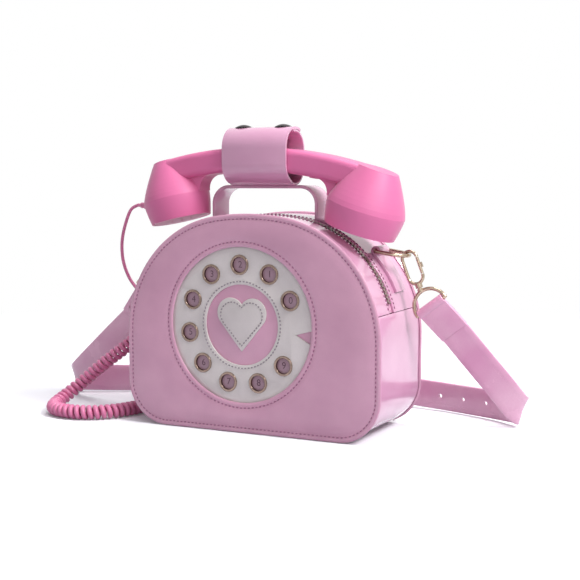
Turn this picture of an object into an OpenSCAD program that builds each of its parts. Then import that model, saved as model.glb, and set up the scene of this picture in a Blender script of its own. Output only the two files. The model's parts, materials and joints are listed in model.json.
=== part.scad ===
// Telephone-shaped shoulder bag with a working corded handset.
// Millimetres. X runs across the bag, Y from front to rear, Z up. Origin: centre of the base.

/* [Bag body] */
// Width of the bag across its widest point
bag_w = 220; // [212:1:232]
// Depth over the front and back panels
bag_d = 90; // [86:1:100]
// Height at which the straight sides turn into the shoulders
spring_z = 75; // [70:1:80]
// Radius of each shoulder
shoulder_r = 95; // [90:1:100]
// Radius of the crown between the shoulders
crown_r = 200; // [180:5:240]
// Radius of the lower corners
corner_r = 35; // [30:1:40]
// Thickness of the front and back panels
panel_t = 2.4; // [2:0.1:3]
// Thickness of the gusset leather
wall_t = 2; // [1.6:0.1:2.4]
// How far the panels stand out past the gusset
seam_lip = 1.6; // [1:0.1:2.2]
// Distance of the edge stitching from the panel's edge
stitch_inset = 4.2; // [3.6:0.1:5]

/* [Zip] */
// Centre line of the zip, measured from the middle of the gusset
zip_y = -12; // [-14:1:-10]
// Opening between the two gusset strips
zip_gap = 9; // [8.4:0.2:10]
// Distance between teeth on one side
tooth_pitch = 3; // [2.8:0.1:3.4]
// Height of the seam where the zip strips end
zip_seam_z = 96; // [93:1:98]

/* [Dial] */
// Sideways place of the dial's centre
dial_x = -7; // [-8:1:4]
// Height of the dial's centre
dial_z = 84.5; // [82:0.5:88]
// Radius of the opening in the front panel
dial_open_r = 60.5; // [58:0.5:62]
// Radius of the hole in the middle of the white ring
dial_hole_r = 31.5; // [30:0.5:33]
// Radius on which the finger holes lie
finger_circle_r = 46.8; // [46:0.2:47.6]
// Outer radius of an eyelet's rim
eyelet_rim_r = 7.8; // [7.2:0.1:8.2]
// Radius of the hole in an eyelet
eyelet_hole_r = 6; // [5:0.1:6.2]
// Width of the heart patch
heart_w = 43; // [36:1:46]
// Height of the heart patch
heart_h = 42; // [36:1:46]

/* [Handle and cuff] */
// Sideways place of the handle and cuff
handle_x = -6.5; // [-7:0.5:-5]
// Place of the handle's centre between front and rear
handle_y = 7; // [6:0.5:9]
// Room between the outside of the handle and the smaller cup of the handset
handle_clear = 4.5; // [4:0.5:8]
// Width of the handle's strap
handle_w = 24; // [20:1:26]
// Thickness of the handle's strap
handle_t = 2.6; // [2.4:0.1:3]
// Height of the top of the handle
handle_top_z = 192.5; // [190.5:0.5:193]
// Length of the cuff along the handset's grip
cuff_len = 56; // [48:1:58]
// Thickness of the cuff's leather
cuff_t = 1.8; // [1.6:0.1:2]

/* [Handset] */
// Distance between the centres of the two cups
cup_span = 158; // [156:1:160]
// Inward tilt of the cups
cup_tilt = 16; // [14:1:18]
// Widest radius of the earpiece cup
ear_r = 31; // [30:0.5:31.5]
// Widest radius of the mouthpiece cup
mouth_r = 27.5; // [26:0.5:28]
// Height of the cups' lower faces at their centres
cup_z = 161; // [161:0.5:163]
// Radius of the grip's upper arch
arch_r = 320; // [300:5:340]
// Height of the top of the grip
grip_top_z = 222; // [221:0.5:223]
// Thickness of the grip from top to underside
grip_h = 19; // [17:0.5:19.5]
// Width of the grip from front to rear
grip_w = 28; // [24:1:28]
// Place of the grip's centre between front and rear
grip_y = -8; // [-9:0.5:-7]
// How far the handset leans down towards its right end
handset_roll = 2.2; // [1.4:0.2:2.6]

/* [Strap and rings] */
// Width of the shoulder strap
strap_w = 24; // [20:1:25]
// Thickness of the shoulder strap
strap_t = 2.4; // [2:0.1:2.8]
// Place of the rings between front and rear
ring_y = 14; // [12:1:16]
// Diameter of the wire of the D-rings
ring_wire = 3.2; // [2.8:0.1:3.4]
// Diameter of the wire of the trigger hooks
hook_wire = 2.6; // [2.4:0.1:2.8]
// Diameter of the wire of the strap loops
loop_wire = 3; // [2.6:0.1:3.2]

/* [Cord] */
// Diameter of the cord
cord_d = 2.8; // [2.4:0.1:3]
// Outer diameter of the curls
curl_d = 12; // [11:0.5:13]
// Thickness of the cord where it is curled
curl_wire_d = 3.3; // [2.8:0.1:3.4]
// Number of curls
curls = 75; // [60:1:80]
// Radius of the plug's pin
plug_pin_r = 1.75; // [1.5:0.05:1.9]

/* [Hidden] */
$fn = 96;

FAR = 400;
PATENT = "#E3AFCB";
PATENT_EDGE = "#F0C8DE";
SOFT_PINK = "#DB5F9E";
WHITE = "#EFEAE6";
GOLD = "#CDB193";
GUNMETAL = "#4A4448";

// ---- Outline of the bag ----
half_w = bag_w / 2;
shoulder_x = half_w - shoulder_r;
crown_drop = sqrt(pow(crown_r - shoulder_r, 2) - pow(shoulder_x, 2));
crown_cz = spring_z - crown_drop;
join_a = atan2(crown_drop, shoulder_x);
bag_h = crown_cz + crown_r;
front_y = -bag_d / 2;
rear_y = bag_d / 2;
in_front_y = front_y + panel_t;
in_rear_y = rear_y - panel_t;

// Height of the outline above a sideways place, near the top, at an inset
function crown_z(x, inset = 0) = let (r = crown_r - inset, edge = r * cos(join_a))
    abs(x) <= edge ? crown_cz + sqrt(r * r - x * x)
    : spring_z + sqrt(pow(shoulder_r - inset, 2) - pow(abs(x) - shoulder_x, 2));

module outline(inset = 0) {
    r1 = crown_r - inset;
    r2 = shoulder_r - inset;
    rc = corner_r - inset;
    w = half_w - inset;
    intersection() {
        translate([0, crown_cz]) circle(r1);
        polygon([[-shoulder_x, spring_z], [shoulder_x, spring_z],
            [shoulder_x + FAR * cos(join_a), spring_z + FAR * sin(join_a)],
            [-shoulder_x - FAR * cos(join_a), spring_z + FAR * sin(join_a)]]);
    }
    for (s = [-1, 1]) {
        intersection() {
            translate([s * shoulder_x, spring_z]) circle(r2);
            polygon([[s * shoulder_x, spring_z], [s * FAR, spring_z], [s * FAR, spring_z + FAR],
                [s * (shoulder_x + FAR * cos(join_a)), spring_z + FAR * sin(join_a)]]);
        }
        intersection() {
            translate([s * (half_w - corner_r), corner_r]) circle(rc);
            translate([s > 0 ? half_w - corner_r : -half_w, 0]) square([corner_r, corner_r]);
        }
    }
    translate([-w, corner_r]) square([2 * w, spring_z - corner_r]);
    translate([-(half_w - corner_r), inset]) square([2 * (half_w - corner_r), corner_r - inset]);
}

// A flat shape drawn in X and Z, given a depth from y0 to y1
module slab(y0, y1) {
    translate([0, y1, 0]) rotate([90, 0, 0]) linear_extrude(y1 - y0) children();
}

// A flat shape drawn in Y and Z, given a length from x0 to x1
module bar(x0, x1) {
    translate([x0, 0, 0]) rotate([90, 0, 90]) linear_extrude(x1 - x0) children();
}

module band(outer, inner) {
    difference() {
        outline(outer);
        outline(inner);
    }
}

module above(z) { translate([-FAR, z]) square([2 * FAR, FAR]); }
module below(z) { translate([-FAR, z - FAR]) square([2 * FAR, FAR]); }

// ---- Body ----
channel_w = 1.2;
channel_depth = 0.4;
tape_t = 0.8;
tape_half_w = 12;
tape_split = 0.3;

module panel(face_y, back_y, stitched_y) {
    difference() {
        slab(face_y, back_y) outline();
        slab(stitched_y, stitched_y + channel_depth)
            band(stitch_inset - channel_w / 2, stitch_inset + channel_w / 2);
        children();
    }
}

module front_panel() {
    color(PATENT) panel(front_y, in_front_y, front_y) {
        translate([dial_x, in_front_y + 1, dial_z]) rotate([90, 0, 0]) cylinder(r = dial_open_r, h = panel_t + 2);
        translate([dial_x, front_y + channel_depth, dial_z]) rotate([90, 0, 0]) difference() {
            cylinder(r = dial_open_r + stitch_inset, h = 1);
            translate([0, 0, -1]) cylinder(r = dial_open_r + stitch_inset - channel_w, h = 3);
        }
    }
}

module back_panel() {
    color(PATENT) panel(in_rear_y, rear_y, rear_y - channel_depth);
}

module gusset_band() {
    color(PATENT_EDGE) slab(in_front_y, in_rear_y) intersection() {
        band(seam_lip, seam_lip + wall_t);
        below(zip_seam_z);
    }
}

module zip_strip(y0, y1) {
    color(PATENT_EDGE) slab(y0, y1) intersection() {
        band(seam_lip, seam_lip + wall_t);
        above(zip_seam_z);
    }
}

module zip_strip_front() { zip_strip(in_front_y, zip_y - zip_gap / 2); }
module zip_strip_rear() { zip_strip(zip_y + zip_gap / 2, in_rear_y); }

tape_inset = seam_lip + wall_t;

module zip_tape(y0, y1) {
    color(PATENT) slab(y0, y1) intersection() {
        band(tape_inset, tape_inset + tape_t);
        above(zip_seam_z);
    }
}

module zip_tape_front() { zip_tape(zip_y - tape_half_w, zip_y - tape_split); }
module zip_tape_rear() { zip_tape(zip_y + tape_split, zip_y + tape_half_w); }

// The zip chain runs along the outline: two shoulder arcs and the crown between them
chain_shoulder_r = shoulder_r - tape_inset;
chain_crown_r = crown_r - tape_inset;
chain_end_a = asin((zip_seam_z + 6 - spring_z) / chain_shoulder_r);
shoulder_run = chain_shoulder_r * (join_a - chain_end_a) * PI / 180;
crown_run = chain_crown_r * (90 - join_a) * PI / 180;
chain_run = shoulder_run + crown_run;

// Place [x, z, lean] on the chain at a signed distance from the crown
function chain_at(s) = let (d = abs(s), side = s < 0 ? -1 : 1)
    d <= crown_run
    ? let (a = 90 - d / chain_crown_r * 180 / PI)
        [side * chain_crown_r * cos(a), crown_cz + chain_crown_r * sin(a), side * (90 - a)]
    : let (a = join_a - (d - crown_run) / chain_shoulder_r * 180 / PI)
        [side * (shoulder_x + chain_shoulder_r * cos(a)), spring_z + chain_shoulder_r * sin(a), side * (90 - a)];

tooth_len = 1.3;
tooth_h = 1.8;
tooth_reach = 3.1;
tooth_grip = 0.7;
teeth = floor(2 * chain_run / tooth_pitch);

module tooth_row(y0, y1, shift) {
    color(GUNMETAL) for (i = [0 : teeth - 1]) {
        p = chain_at((i - (teeth - 1) / 2 + shift) * tooth_pitch);
        translate([p[0], 0, p[1]]) rotate([0, p[2], 0])
            translate([-tooth_len / 2, y0, 0.02]) cube([tooth_len, y1 - y0, tooth_h]);
    }
}

module zip_teeth_front() { tooth_row(zip_y - tooth_reach, zip_y + tooth_grip, -0.25); }
module zip_teeth_rear() { tooth_row(zip_y - tooth_grip, zip_y + tooth_reach, 0.25); }

// The base layer fills the recess between the panels' lower edges, so the bag stands flat
module base_board() {
    board_half = half_w - corner_r;
    color(PATENT) translate([-board_half, in_front_y, 0])
        cube([2 * board_half, bag_d - 2 * panel_t, seam_lip]);
}

// ---- Dial ----
ring_t = 1.6;
ring_y0 = in_front_y;
ring_y1 = ring_y0 + ring_t;
ring_margin = 4;
backing_t = 1.5;
divisions = 11;
step_a = 360 / divisions;
first_a = 26.2;
fingers = 10;
notch_a = first_a - step_a;
notch_half = 5.5;
eyelet_flange_t = 0.9;

module at_dial(y) { translate([dial_x, y, dial_z]) rotate([90, 0, 0]) children(); }
module at_finger(i) { rotate(first_a + i * step_a) translate([finger_circle_r, 0, 0]) children(); }

module dial_backing() {
    color(PATENT) at_dial(ring_y1 + backing_t) cylinder(r = dial_open_r + ring_margin, h = backing_t);
}

module dial_ring() {
    color(WHITE) difference() {
        at_dial(ring_y1) cylinder(r = dial_open_r + ring_margin, h = ring_t);
        at_dial(ring_y1 + 1) cylinder(r = dial_hole_r, h = ring_t + 2);
        for (i = [0 : fingers - 1])
            at_dial(ring_y1 + 1) at_finger(i) cylinder(r = eyelet_barrel_r, h = ring_t + 2);
        at_dial(ring_y1 + 1) rotate(notch_a) linear_extrude(ring_t + 2)
            polygon([[finger_circle_r, 0], [dial_open_r, notch_half], [dial_open_r + 1, 0], [dial_open_r, -notch_half]]);
    }
}

eyelet_barrel_r = (eyelet_rim_r + eyelet_hole_r) / 2;

module eyelet() {
    rotate_extrude() union() {
        translate([eyelet_hole_r, 0]) square([eyelet_barrel_r - eyelet_hole_r, ring_t]);
        translate([eyelet_hole_r, ring_t]) square([eyelet_rim_r - eyelet_hole_r, eyelet_flange_t / 2]);
        translate([eyelet_hole_r + eyelet_flange_t / 2, ring_t + eyelet_flange_t / 2])
            square([eyelet_rim_r - eyelet_hole_r - eyelet_flange_t, eyelet_flange_t / 2]);
        for (r = [eyelet_hole_r, eyelet_rim_r - eyelet_flange_t])
            intersection() {
                translate([r + eyelet_flange_t / 2, ring_t + eyelet_flange_t / 2]) circle(eyelet_flange_t / 2, $fn = 24);
                translate([r, ring_t + eyelet_flange_t / 2]) square([eyelet_flange_t, eyelet_flange_t]);
            }
    }
}

module dial_eyelets() {
    color(GUNMETAL) for (i = [0 : fingers - 1]) at_dial(ring_y1) at_finger(i) eyelet();
}

// A heart drawn point down: two circles, and the lines from the point that touch them
module heart_shape(w, h) {
    r = w * 0.275;
    cx = w / 2 - r;
    cy = h - r;
    reach = sqrt(cx * cx + cy * cy - r * r);
    side_a = atan2(cy, cx) - asin(r / sqrt(cx * cx + cy * cy));
    polygon([[0, 0], reach * [cos(side_a), sin(side_a)], [cx, cy], [-cx, cy], reach * [-cos(side_a), sin(side_a)]]);
    for (s = [-1, 1]) translate([s * cx, cy]) circle(r);
}

heart_t = 1.4;

module heart_patch() {
    color(WHITE) at_dial(ring_y1) linear_extrude(heart_t) translate([0, -heart_h / 2]) heart_shape(heart_w, heart_h);
}

// ---- Handle ----
handle_half = cup_span / 2 - mouth_r - handle_clear;
leg_in = handle_half - handle_t;
handle_bend_r = 15;
foot_len = 14;
handle_y0 = handle_y - handle_w / 2;
handle_y1 = handle_y + handle_w / 2;

// A shape like a doorway: square below, round corners above
module doorway(half, top, r, bottom) {
    translate([-half, bottom]) square([2 * half, top - r - bottom]);
    translate([-(half - r), top - r]) square([2 * (half - r), r]);
    for (s = [-1, 1]) intersection() {
        translate([s * (half - r), top - r]) circle(r);
        translate([s > 0 ? half - r : -half, top - r]) square([r, r]);
    }
}

module top_handle() {
    color(PATENT) slab(handle_y0, handle_y1) difference() {
        union() {
            translate([handle_x, 0]) difference() {
                doorway(handle_half, handle_top_z, handle_bend_r, spring_z);
                doorway(leg_in, handle_top_z - handle_t, handle_bend_r - handle_t, spring_z - 1);
            }
            intersection() {
                outline(seam_lip - handle_t);
                translate([handle_x, 0]) for (s = [-1, 1])
                    translate([s > 0 ? leg_in : -handle_half - foot_len + handle_t, spring_z])
                        square([handle_t + foot_len - handle_t, FAR]);
            }
        }
        outline(seam_lip);
    }
}

// ---- Cuff ----
cuff_x0 = handle_x + 1 - cuff_len / 2;
cuff_x1 = cuff_x0 + cuff_len;
cuff_bend_r = 17;
// The cuff's lower corner carries the grip, 0.3 mm clear
grip_seat_gap = 1.1;
cuff_front_y = grip_y - grip_w / 2 - cuff_t - grip_seat_gap;
cuff_rear_y = grip_y + grip_w / 2 + 6;
cuff_low_z = handle_top_z + 0.5;
cuff_high_z = grip_top_z + 16;
flap_root_y = cuff_front_y + 12;
flap_end_y = grip_y + 10;
back_end_y = grip_y - 2;
flap_fold_gap = 1.2;
layer_gap = 0.3;
mid_z = (cuff_low_z + cuff_high_z) / 2;

// A closed loop of leather in Y and Z with round corners
module loop_shape(y0, y1, z0, z1, r) {
    translate([y0 + r, z0]) square([y1 - y0 - 2 * r, z1 - z0]);
    translate([y0, z0 + r]) square([y1 - y0, z1 - z0 - 2 * r]);
    for (y = [y0 + r, y1 - r]) for (z = [z0 + r, z1 - r]) translate([y, z]) circle(r);
}

module loop_ring(y0, y1, z0, z1, r) {
    difference() {
        loop_shape(y0, y1, z0, z1, r);
        loop_shape(y0 + cuff_t, y1 - cuff_t, z0 + cuff_t, z1 - cuff_t, r - cuff_t);
    }
}

under_t = cuff_t + layer_gap;
back_low_z = handle_top_z;
back_high_z = cuff_high_z - under_t;

module cuff_back() {
    color(PATENT) bar(cuff_x0, cuff_x1) intersection() {
        loop_ring(cuff_front_y + under_t / 2, cuff_rear_y - under_t, back_low_z, back_high_z, cuff_bend_r - under_t / 2);
        union() {
            translate([flap_root_y + flap_fold_gap, back_low_z]) square([FAR, mid_z - back_low_z]);
            translate([back_end_y, mid_z]) square([FAR, FAR]);
        }
    }
}

snap_gap = 35;
snap_y = grip_y + 1;
snap_stud_r = 1.5;
snap_stud_h = 0.45;
snap_cap_r = 7;
snap_cap_h = 2.2;
snap_socket_r = 4.5;

module at_snaps() {
    for (s = [-1, 1]) translate([(cuff_x0 + cuff_x1) / 2 + s * snap_gap / 2, snap_y, 0]) children();
}

module snap_studs() {
    color(GUNMETAL) at_snaps() translate([0, 0, back_high_z]) cylinder(r = snap_stud_r, h = snap_stud_h);
}

module cuff_flap() {
    color(PATENT) difference() {
        bar(cuff_x0, cuff_x1) intersection() {
            loop_ring(cuff_front_y, cuff_rear_y, cuff_low_z, cuff_high_z, cuff_bend_r);
            union() {
                translate([-FAR, cuff_low_z]) square([FAR + flap_root_y, FAR]);
                translate([-FAR, mid_z]) square([FAR + flap_end_y, FAR]);
            }
        }
        at_snaps() translate([0, 0, mid_z]) cylinder(r = snap_socket_r, h = FAR);
    }
}

// A domed cap over the socket that the stud stands in
module snap_caps() {
    dome_r = (snap_cap_r * snap_cap_r + snap_cap_h * snap_cap_h) / (2 * snap_cap_h);
    color(GUNMETAL) at_snaps() translate([0, 0, cuff_high_z]) intersection() {
        translate([0, 0, snap_cap_h - dome_r]) sphere(dome_r);
        cylinder(r = snap_cap_r, h = snap_cap_h + 1);
    }
}

// ---- Handset ----
arch_cz = grip_top_z - arch_r;
roll_z = grip_top_z - 10;
band_h = 18;
face_t = 2;
cap_wall = 2.2;
cup_h = 56;

// Puts a piece drawn in the handset's own frame where the handset lies
module handset_place() {
    translate([0, grip_y, roll_z]) rotate([0, handset_roll, 0]) translate([0, 0, -roll_z]) children();
}
function handset_pt(p) = [p[0] * cos(handset_roll) + (p[2] - roll_z) * sin(handset_roll), p[1] + grip_y,
    roll_z - p[0] * sin(handset_roll) + (p[2] - roll_z) * cos(handset_roll)];

// Radius of the cup on one side: -1 left, 1 right
function cup_r(side) = side > 0 ? ear_r : mouth_r;

// Frame of a cup: its axis is Z, from the centre of its lower face
module cup_place(side) {
    translate([side * cup_span / 2, 0, cup_z]) rotate([0, side * cup_tilt, 0]) children();
}

// Radius of a cup at a height above its lower face: the cap flares up to the seam, the shell closes in
function barrel_r(h, r) = h <= band_h ? r - 3 * pow(1 - h / band_h, 1.5)
    : r - 19 * pow((h - band_h) / (cup_h - band_h), 1.25);

module barrel(r, h0, h1, steps) {
    rotate_extrude() polygon(concat([[0, h0]],
        [for (i = [0 : steps]) let (h = h0 + (h1 - h0) * i / steps) [barrel_r(h, r), h]], [[0, h1]]));
}

// The shell over a cup, cut off by the arch of the grip
module cup_shell(side) {
    intersection() {
        cup_place(side) barrel(cup_r(side), band_h, cup_h, 10);
        translate([0, FAR / 2, arch_cz]) rotate([90, 0, 0]) cylinder(r = arch_r, h = FAR, $fn = 720);
    }
}

module rounded_section(w, h, r) {
    translate([r, 0]) square([w - 2 * r, h]);
    translate([0, r]) square([w, h - 2 * r]);
    for (x = [r, w - r]) for (y = [r, h - r]) translate([x, y]) circle(r, $fn = 48);
}

grip_edge_r = 5;
grip_half_a = asin((cup_span / 2 + cup_h * sin(cup_tilt)) / arch_r);

// The grip: a rounded section swept along an arc in the plane of X and Z
module grip() {
    translate([0, 0, arch_cz]) rotate([90, 0, 0]) rotate(90 - grip_half_a)
        rotate_extrude(angle = 2 * grip_half_a, $fn = 360)
            translate([arch_r - grip_h, -grip_w / 2]) rounded_section(grip_h, grip_w, grip_edge_r);
}

// The hollow curve that carries the underside of the grip into a cup of radius r: a circle that
// touches both, in the cup's own frame
web_r = 11;
web_w = grip_w - 2 * grip_edge_r - 1.6;
web_dz = cup_z - arch_cz;
function web_from(r) = [cup_span / 2 - (r + web_r) * cos(cup_tilt), web_dz + (r + web_r) * sin(cup_tilt)];
function web_h(r) = let (p = web_from(r), along = p * [sin(cup_tilt), cos(cup_tilt)])
    sqrt(along * along - p * p + pow(arch_r - grip_h - web_r, 2)) - along;
function web_a(r) = let (q = web_from(r) + web_h(r) * [sin(cup_tilt), cos(cup_tilt)]) atan2(q[0], q[1]) - cup_tilt;

module grip_web(side) {
    r = cup_r(side);
    h = web_h(r);
    a = web_a(r);
    cup_place(side) mirror([side > 0 ? 0 : 1, 0, 0]) slab(-web_w / 2, web_w / 2) intersection() {
        difference() {
            polygon([[-r - web_r + web_r * sin(a), h + web_r * cos(a)],
                [-r - web_r + (web_r + 6) * sin(a), h + (web_r + 6) * cos(a)],
                [-r + 9, h + web_r + 4], [-r + 9, h], [-r, h]]);
            translate([-r - web_r, h]) circle(web_r);
        }
        translate([-2 * r, band_h]) square(2 * r);
    }
}

button_a = 7.6;
button_r = 4;
button_clear = 0.3;
button_seat = 2.6;
button_out = 1;

module at_button() {
    translate([0, 0, arch_cz]) rotate([0, button_a, 0]) translate([0, 0, arch_r - grip_h]) children();
}

relief_z = 171;
relief_x = -(cup_span / 2 + mouth_r - 1);
relief_len = 13;
relief_r = 3.2;

module handset_shell() {
    color(SOFT_PINK) handset_place() difference() {
        union() {
            grip();
            for (s = [-1, 1]) {
                cup_shell(s);
                grip_web(s);
            }
        }
        at_button() translate([0, 0, -2]) cylinder(r = button_r + button_clear, h = button_seat + 2);
    }
}

sound_holes = 6;
sound_circle_r = 9;

module cup_cap(side) {
    color(SOFT_PINK) handset_place() cup_place(side) difference() {
        barrel(cup_r(side), 0, band_h, 8);
        translate([0, 0, face_t]) cylinder(r = barrel_r(0, cup_r(side)) - cap_wall, h = band_h);
        for (i = [0 : sound_holes - 1]) rotate(i * 360 / sound_holes)
            translate([sound_circle_r, 0, -1]) cylinder(r = 1.2, h = face_t + 2);
        translate([0, 0, -1]) cylinder(r = 1.2, h = face_t + 2);
    }
}

module earpiece_cap() { cup_cap(1); }
module mouthpiece_cap() { cup_cap(-1); }

speaker_r = 18;
speaker_h = 7;

module earpiece_speaker() {
    color("#3A3A3E") handset_place() cup_place(1) translate([0, 0, face_t]) difference() {
        union() {
            cylinder(r = speaker_r, h = 3);
            cylinder(r = speaker_r * 0.55, h = speaker_h);
        }
        translate([0, 0, -1]) cylinder(r = speaker_r * 0.8, h = 2);
    }
}

module microphone() {
    color("#3A3A3E") handset_place() cup_place(-1) translate([0, 0, face_t]) cylinder(r = 4.8, h = 6);
}

module strain_relief() {
    color(SOFT_PINK) handset_place() difference() {
        translate([relief_x, 0, relief_z]) rotate([0, -90, 0]) union() {
            translate([0, 0, -6]) cylinder(r = relief_r, h = relief_len + 6 - 4);
            translate([0, 0, relief_len - 4]) cylinder(r = relief_r - 0.8, h = 4);
        }
        cup_place(-1) barrel(mouth_r, 0, band_h, 8);
        cup_place(-1) barrel(mouth_r, band_h, cup_h, 10);
    }
}

module call_button() {
    color(SOFT_PINK) handset_place() at_button() translate([0, 0, -button_out])
        cylinder(r = button_r, h = button_out + button_seat - 1.4);
}

// ---- Slider of the zip ----
park_run = chain_run - 8;
slider_l = 11;
slider_w = 8;
slider_lift = 0.4;
slider_plate = 1.6;
lug_h = 3;
lug_bore_r = 0.9;
pull_len = 24;
pull_w = 6.4;
pull_t = 1.4;
pull_pin_r = 0.8;

// Frame of the slider: X along the zip towards the parked end, Z out of the bag
module slider_place() {
    p = chain_at(-park_run);
    translate([p[0], zip_y, p[1]]) rotate([0, p[2], 0]) mirror([1, 0, 0]) children();
}

module zip_slider() {
    top = tooth_h + slider_lift;
    color(GOLD) slider_place() difference() {
        union() {
            translate([0, 0, top]) linear_extrude(slider_plate) intersection() {
                square([slider_l, slider_w], center = true);
                circle(slider_l / 2 + 0.6);
            }
            for (s = [-1, 1]) translate([-slider_l / 2 + 1.5, s > 0 ? slider_w / 2 - 0.7 : -slider_w / 2, slider_lift])
                cube([slider_l - 3, 0.7, top - slider_lift + slider_plate / 2]);
            translate([-1.5, -1, top + slider_plate]) cube([4, 2, lug_h]);
        }
        translate([lug_x, 2, pull_z]) rotate([90, 0, 0]) cylinder(r = lug_bore_r, h = 4);
    }
}

lug_x = 0.5;
pull_z = tooth_h + slider_lift + slider_plate + 1.6;

// The pull: a flat tab on two arms, joined by the pin that runs through the lug
module zip_pull() {
    arm = 1.3;
    color(GOLD) slider_place() translate([lug_x, 0, pull_z]) {
        translate([0, pull_w / 2, 0]) rotate([90, 0, 0]) cylinder(r = pull_pin_r, h = pull_w);
        for (s = [-1, 1]) translate([-pull_t / 2, s > 0 ? pull_w / 2 - arm : -pull_w / 2, -pull_t / 2])
            cube([6, arm, pull_t]);
        translate([0, 0, -pull_t / 2]) linear_extrude(pull_t) difference() {
            union() {
                translate([5, -pull_w / 2]) square([pull_len - 5 - pull_w / 2, pull_w]);
                translate([pull_len - pull_w / 2, 0]) circle(pull_w / 2);
            }
            translate([pull_len - pull_w / 2, 0]) circle(1.5);
        }
    }
}

// ---- Rings, hooks and strap loops, drawn on the right and mirrored for the left ----
tab_low_a = 22;
tab_high_a = 41;
tab_t = 2.2;
tab_half_w = 10;
eye_clear = 0.3;
tab_r = shoulder_r - seam_lip;
tab_eye_r = ring_wire / 2 + eye_clear + 2;
tab_eye_a = tab_high_a + 2.4;
ring_cx = shoulder_x + (tab_r + tab_eye_r) * cos(tab_eye_a);
ring_cz = spring_z + (tab_r + tab_eye_r) * sin(tab_eye_a);

module on_side(side) {
    if (side > 0) children();
    else mirror([1, 0, 0]) children();
}

module ring_tab(side) {
    color(PATENT) on_side(side) difference() {
        union() {
            slab(ring_y - tab_half_w, ring_y + tab_half_w) intersection() {
                translate([shoulder_x, spring_z]) difference() {
                    circle(tab_r + tab_t);
                    circle(tab_r);
                }
                polygon([[shoulder_x, spring_z],
                    [shoulder_x + FAR * cos(tab_low_a), spring_z + FAR * sin(tab_low_a)],
                    [shoulder_x + FAR * cos(tab_eye_a), spring_z + FAR * sin(tab_eye_a)]]);
            }
            translate([ring_cx, ring_y + tab_half_w, ring_cz]) rotate([90, 0, 0])
                cylinder(r = tab_eye_r, h = 2 * tab_half_w);
        }
        translate([ring_cx, ring_y + tab_half_w + 1, ring_cz]) rotate([90, 0, 0])
            cylinder(r = ring_wire / 2 + eye_clear, h = 2 * tab_half_w + 2);
    }
}

module ring_tab_left() { ring_tab(-1); }
module ring_tab_right() { ring_tab(1); }

ring_dip = 8.5;
ring_leg = 11;
ring_bend_r = 2.2;
ring_half = tab_half_w + eye_clear + ring_bend_r;

// A D-ring of bent wire: a straight side on Y through the origin, two bends, two legs and a bow along X
module dee(r, leg, bend, d) {
    translate([0, r - bend, 0]) rotate([90, 0, 0]) cylinder(d = d, h = 2 * (r - bend));
    for (s = [-1, 1]) {
        translate([bend, s * (r - bend), 0]) rotate(s > 0 ? 90 : 180) rotate_extrude(angle = 90)
            translate([bend, 0]) circle(d = d, $fn = 32);
        translate([bend, s * r, 0]) rotate([0, 90, 0]) cylinder(d = d, h = leg - bend);
    }
    translate([leg, 0, 0]) rotate(-90) rotate_extrude(angle = 180) translate([r, 0]) circle(d = d, $fn = 32);
}

module d_ring(side) {
    color(GOLD) on_side(side) translate([ring_cx, ring_y, ring_cz]) rotate([0, ring_dip, 0])
        dee(ring_half, ring_leg, ring_bend_r, ring_wire);
}

module d_ring_left() { d_ring(-1); }
module d_ring_right() { d_ring(1); }

ring_tip = [ring_cx + (ring_leg + ring_half) * cos(ring_dip), ring_cz - (ring_leg + ring_half) * sin(ring_dip)];
hook_lean = 21;
hook_half = 6;
hook_leg = 14;
hook_clear = 0.3;
hook_grip = hook_half - (hook_wire + ring_wire) / 2 - hook_clear;
// Distance along the hook from the ring's wire to the seat of the swivel
hook_drop = hook_grip + hook_leg + hook_half;
swivel_r = 2.8;
swivel_h = 3.6;
post_r = 1.5;
post_h = 5.1;
gate_r = 1.2;
gate_x = hook_half;

// Frame of a hook: origin at the lowest point of its loop, Z up along it, X towards its gate
module hook_place(side) {
    on_side(side) translate([ring_tip[0] + hook_drop * sin(hook_lean), ring_y, ring_tip[1] - hook_drop * cos(hook_lean)])
        rotate([0, -hook_lean, 0]) children();
}

module hook(side) {
    r = hook_half;
    color(GOLD) hook_place(side) {
        translate([0, 0, r + hook_leg]) rotate([90, 0, 0]) rotate_extrude(angle = 180) translate([r, 0])
            circle(d = hook_wire, $fn = 32);
        translate([-r, 0, r]) cylinder(d = hook_wire, h = hook_leg);
        translate([0, 0, r]) rotate([90, 0, 0]) rotate(180) rotate_extrude(angle = 180) translate([r, 0])
            circle(d = hook_wire, $fn = 32);
        difference() {
            translate([0, 0, -swivel_h]) cylinder(r = swivel_r, h = swivel_h);
            translate([0, 0, -swivel_h - 1]) cylinder(r = post_r + 0.05, h = swivel_h + 0.6);
        }
    }
}

module hook_left() { hook(-1); }
module hook_right() { hook(1); }

gate_gap = 0.35;

module gate(side) {
    color(GOLD) hook_place(side) {
        translate([gate_x, 0, hook_half + gate_gap]) cylinder(r = gate_r, h = hook_leg - 2 * gate_gap);
        translate([gate_x + gate_r - 0.4, -0.9, hook_half + hook_leg * 0.35]) cube([1.6, 1.8, 4]);
    }
}

module gate_left() { gate(-1); }
module gate_right() { gate(1); }

loop_r = strap_w / 2 + loop_wire / 2 + eye_clear;
loop_a = 53;

// A strap loop: half a circle of wire closed by a straight bar with ball ends
module half_loop(r, d) {
    translate([0, r, 0]) rotate([90, 0, 0]) cylinder(d = d, h = 2 * r);
    for (s = [-1, 1]) translate([0, s * r, 0]) sphere(d = d);
    rotate(-90) rotate_extrude(angle = 180) translate([r, 0]) circle(d = d, $fn = 32);
}
// Place of the strap loop's bar, in X and Z
post_low = [ring_tip[0] + (hook_drop + swivel_h + 3) * sin(hook_lean), ring_tip[1] - (hook_drop + swivel_h + 3) * cos(hook_lean)];
loop_cx = post_low[0] + loop_r * cos(loop_a);
loop_cz = post_low[1] - loop_r * sin(loop_a);

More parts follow.
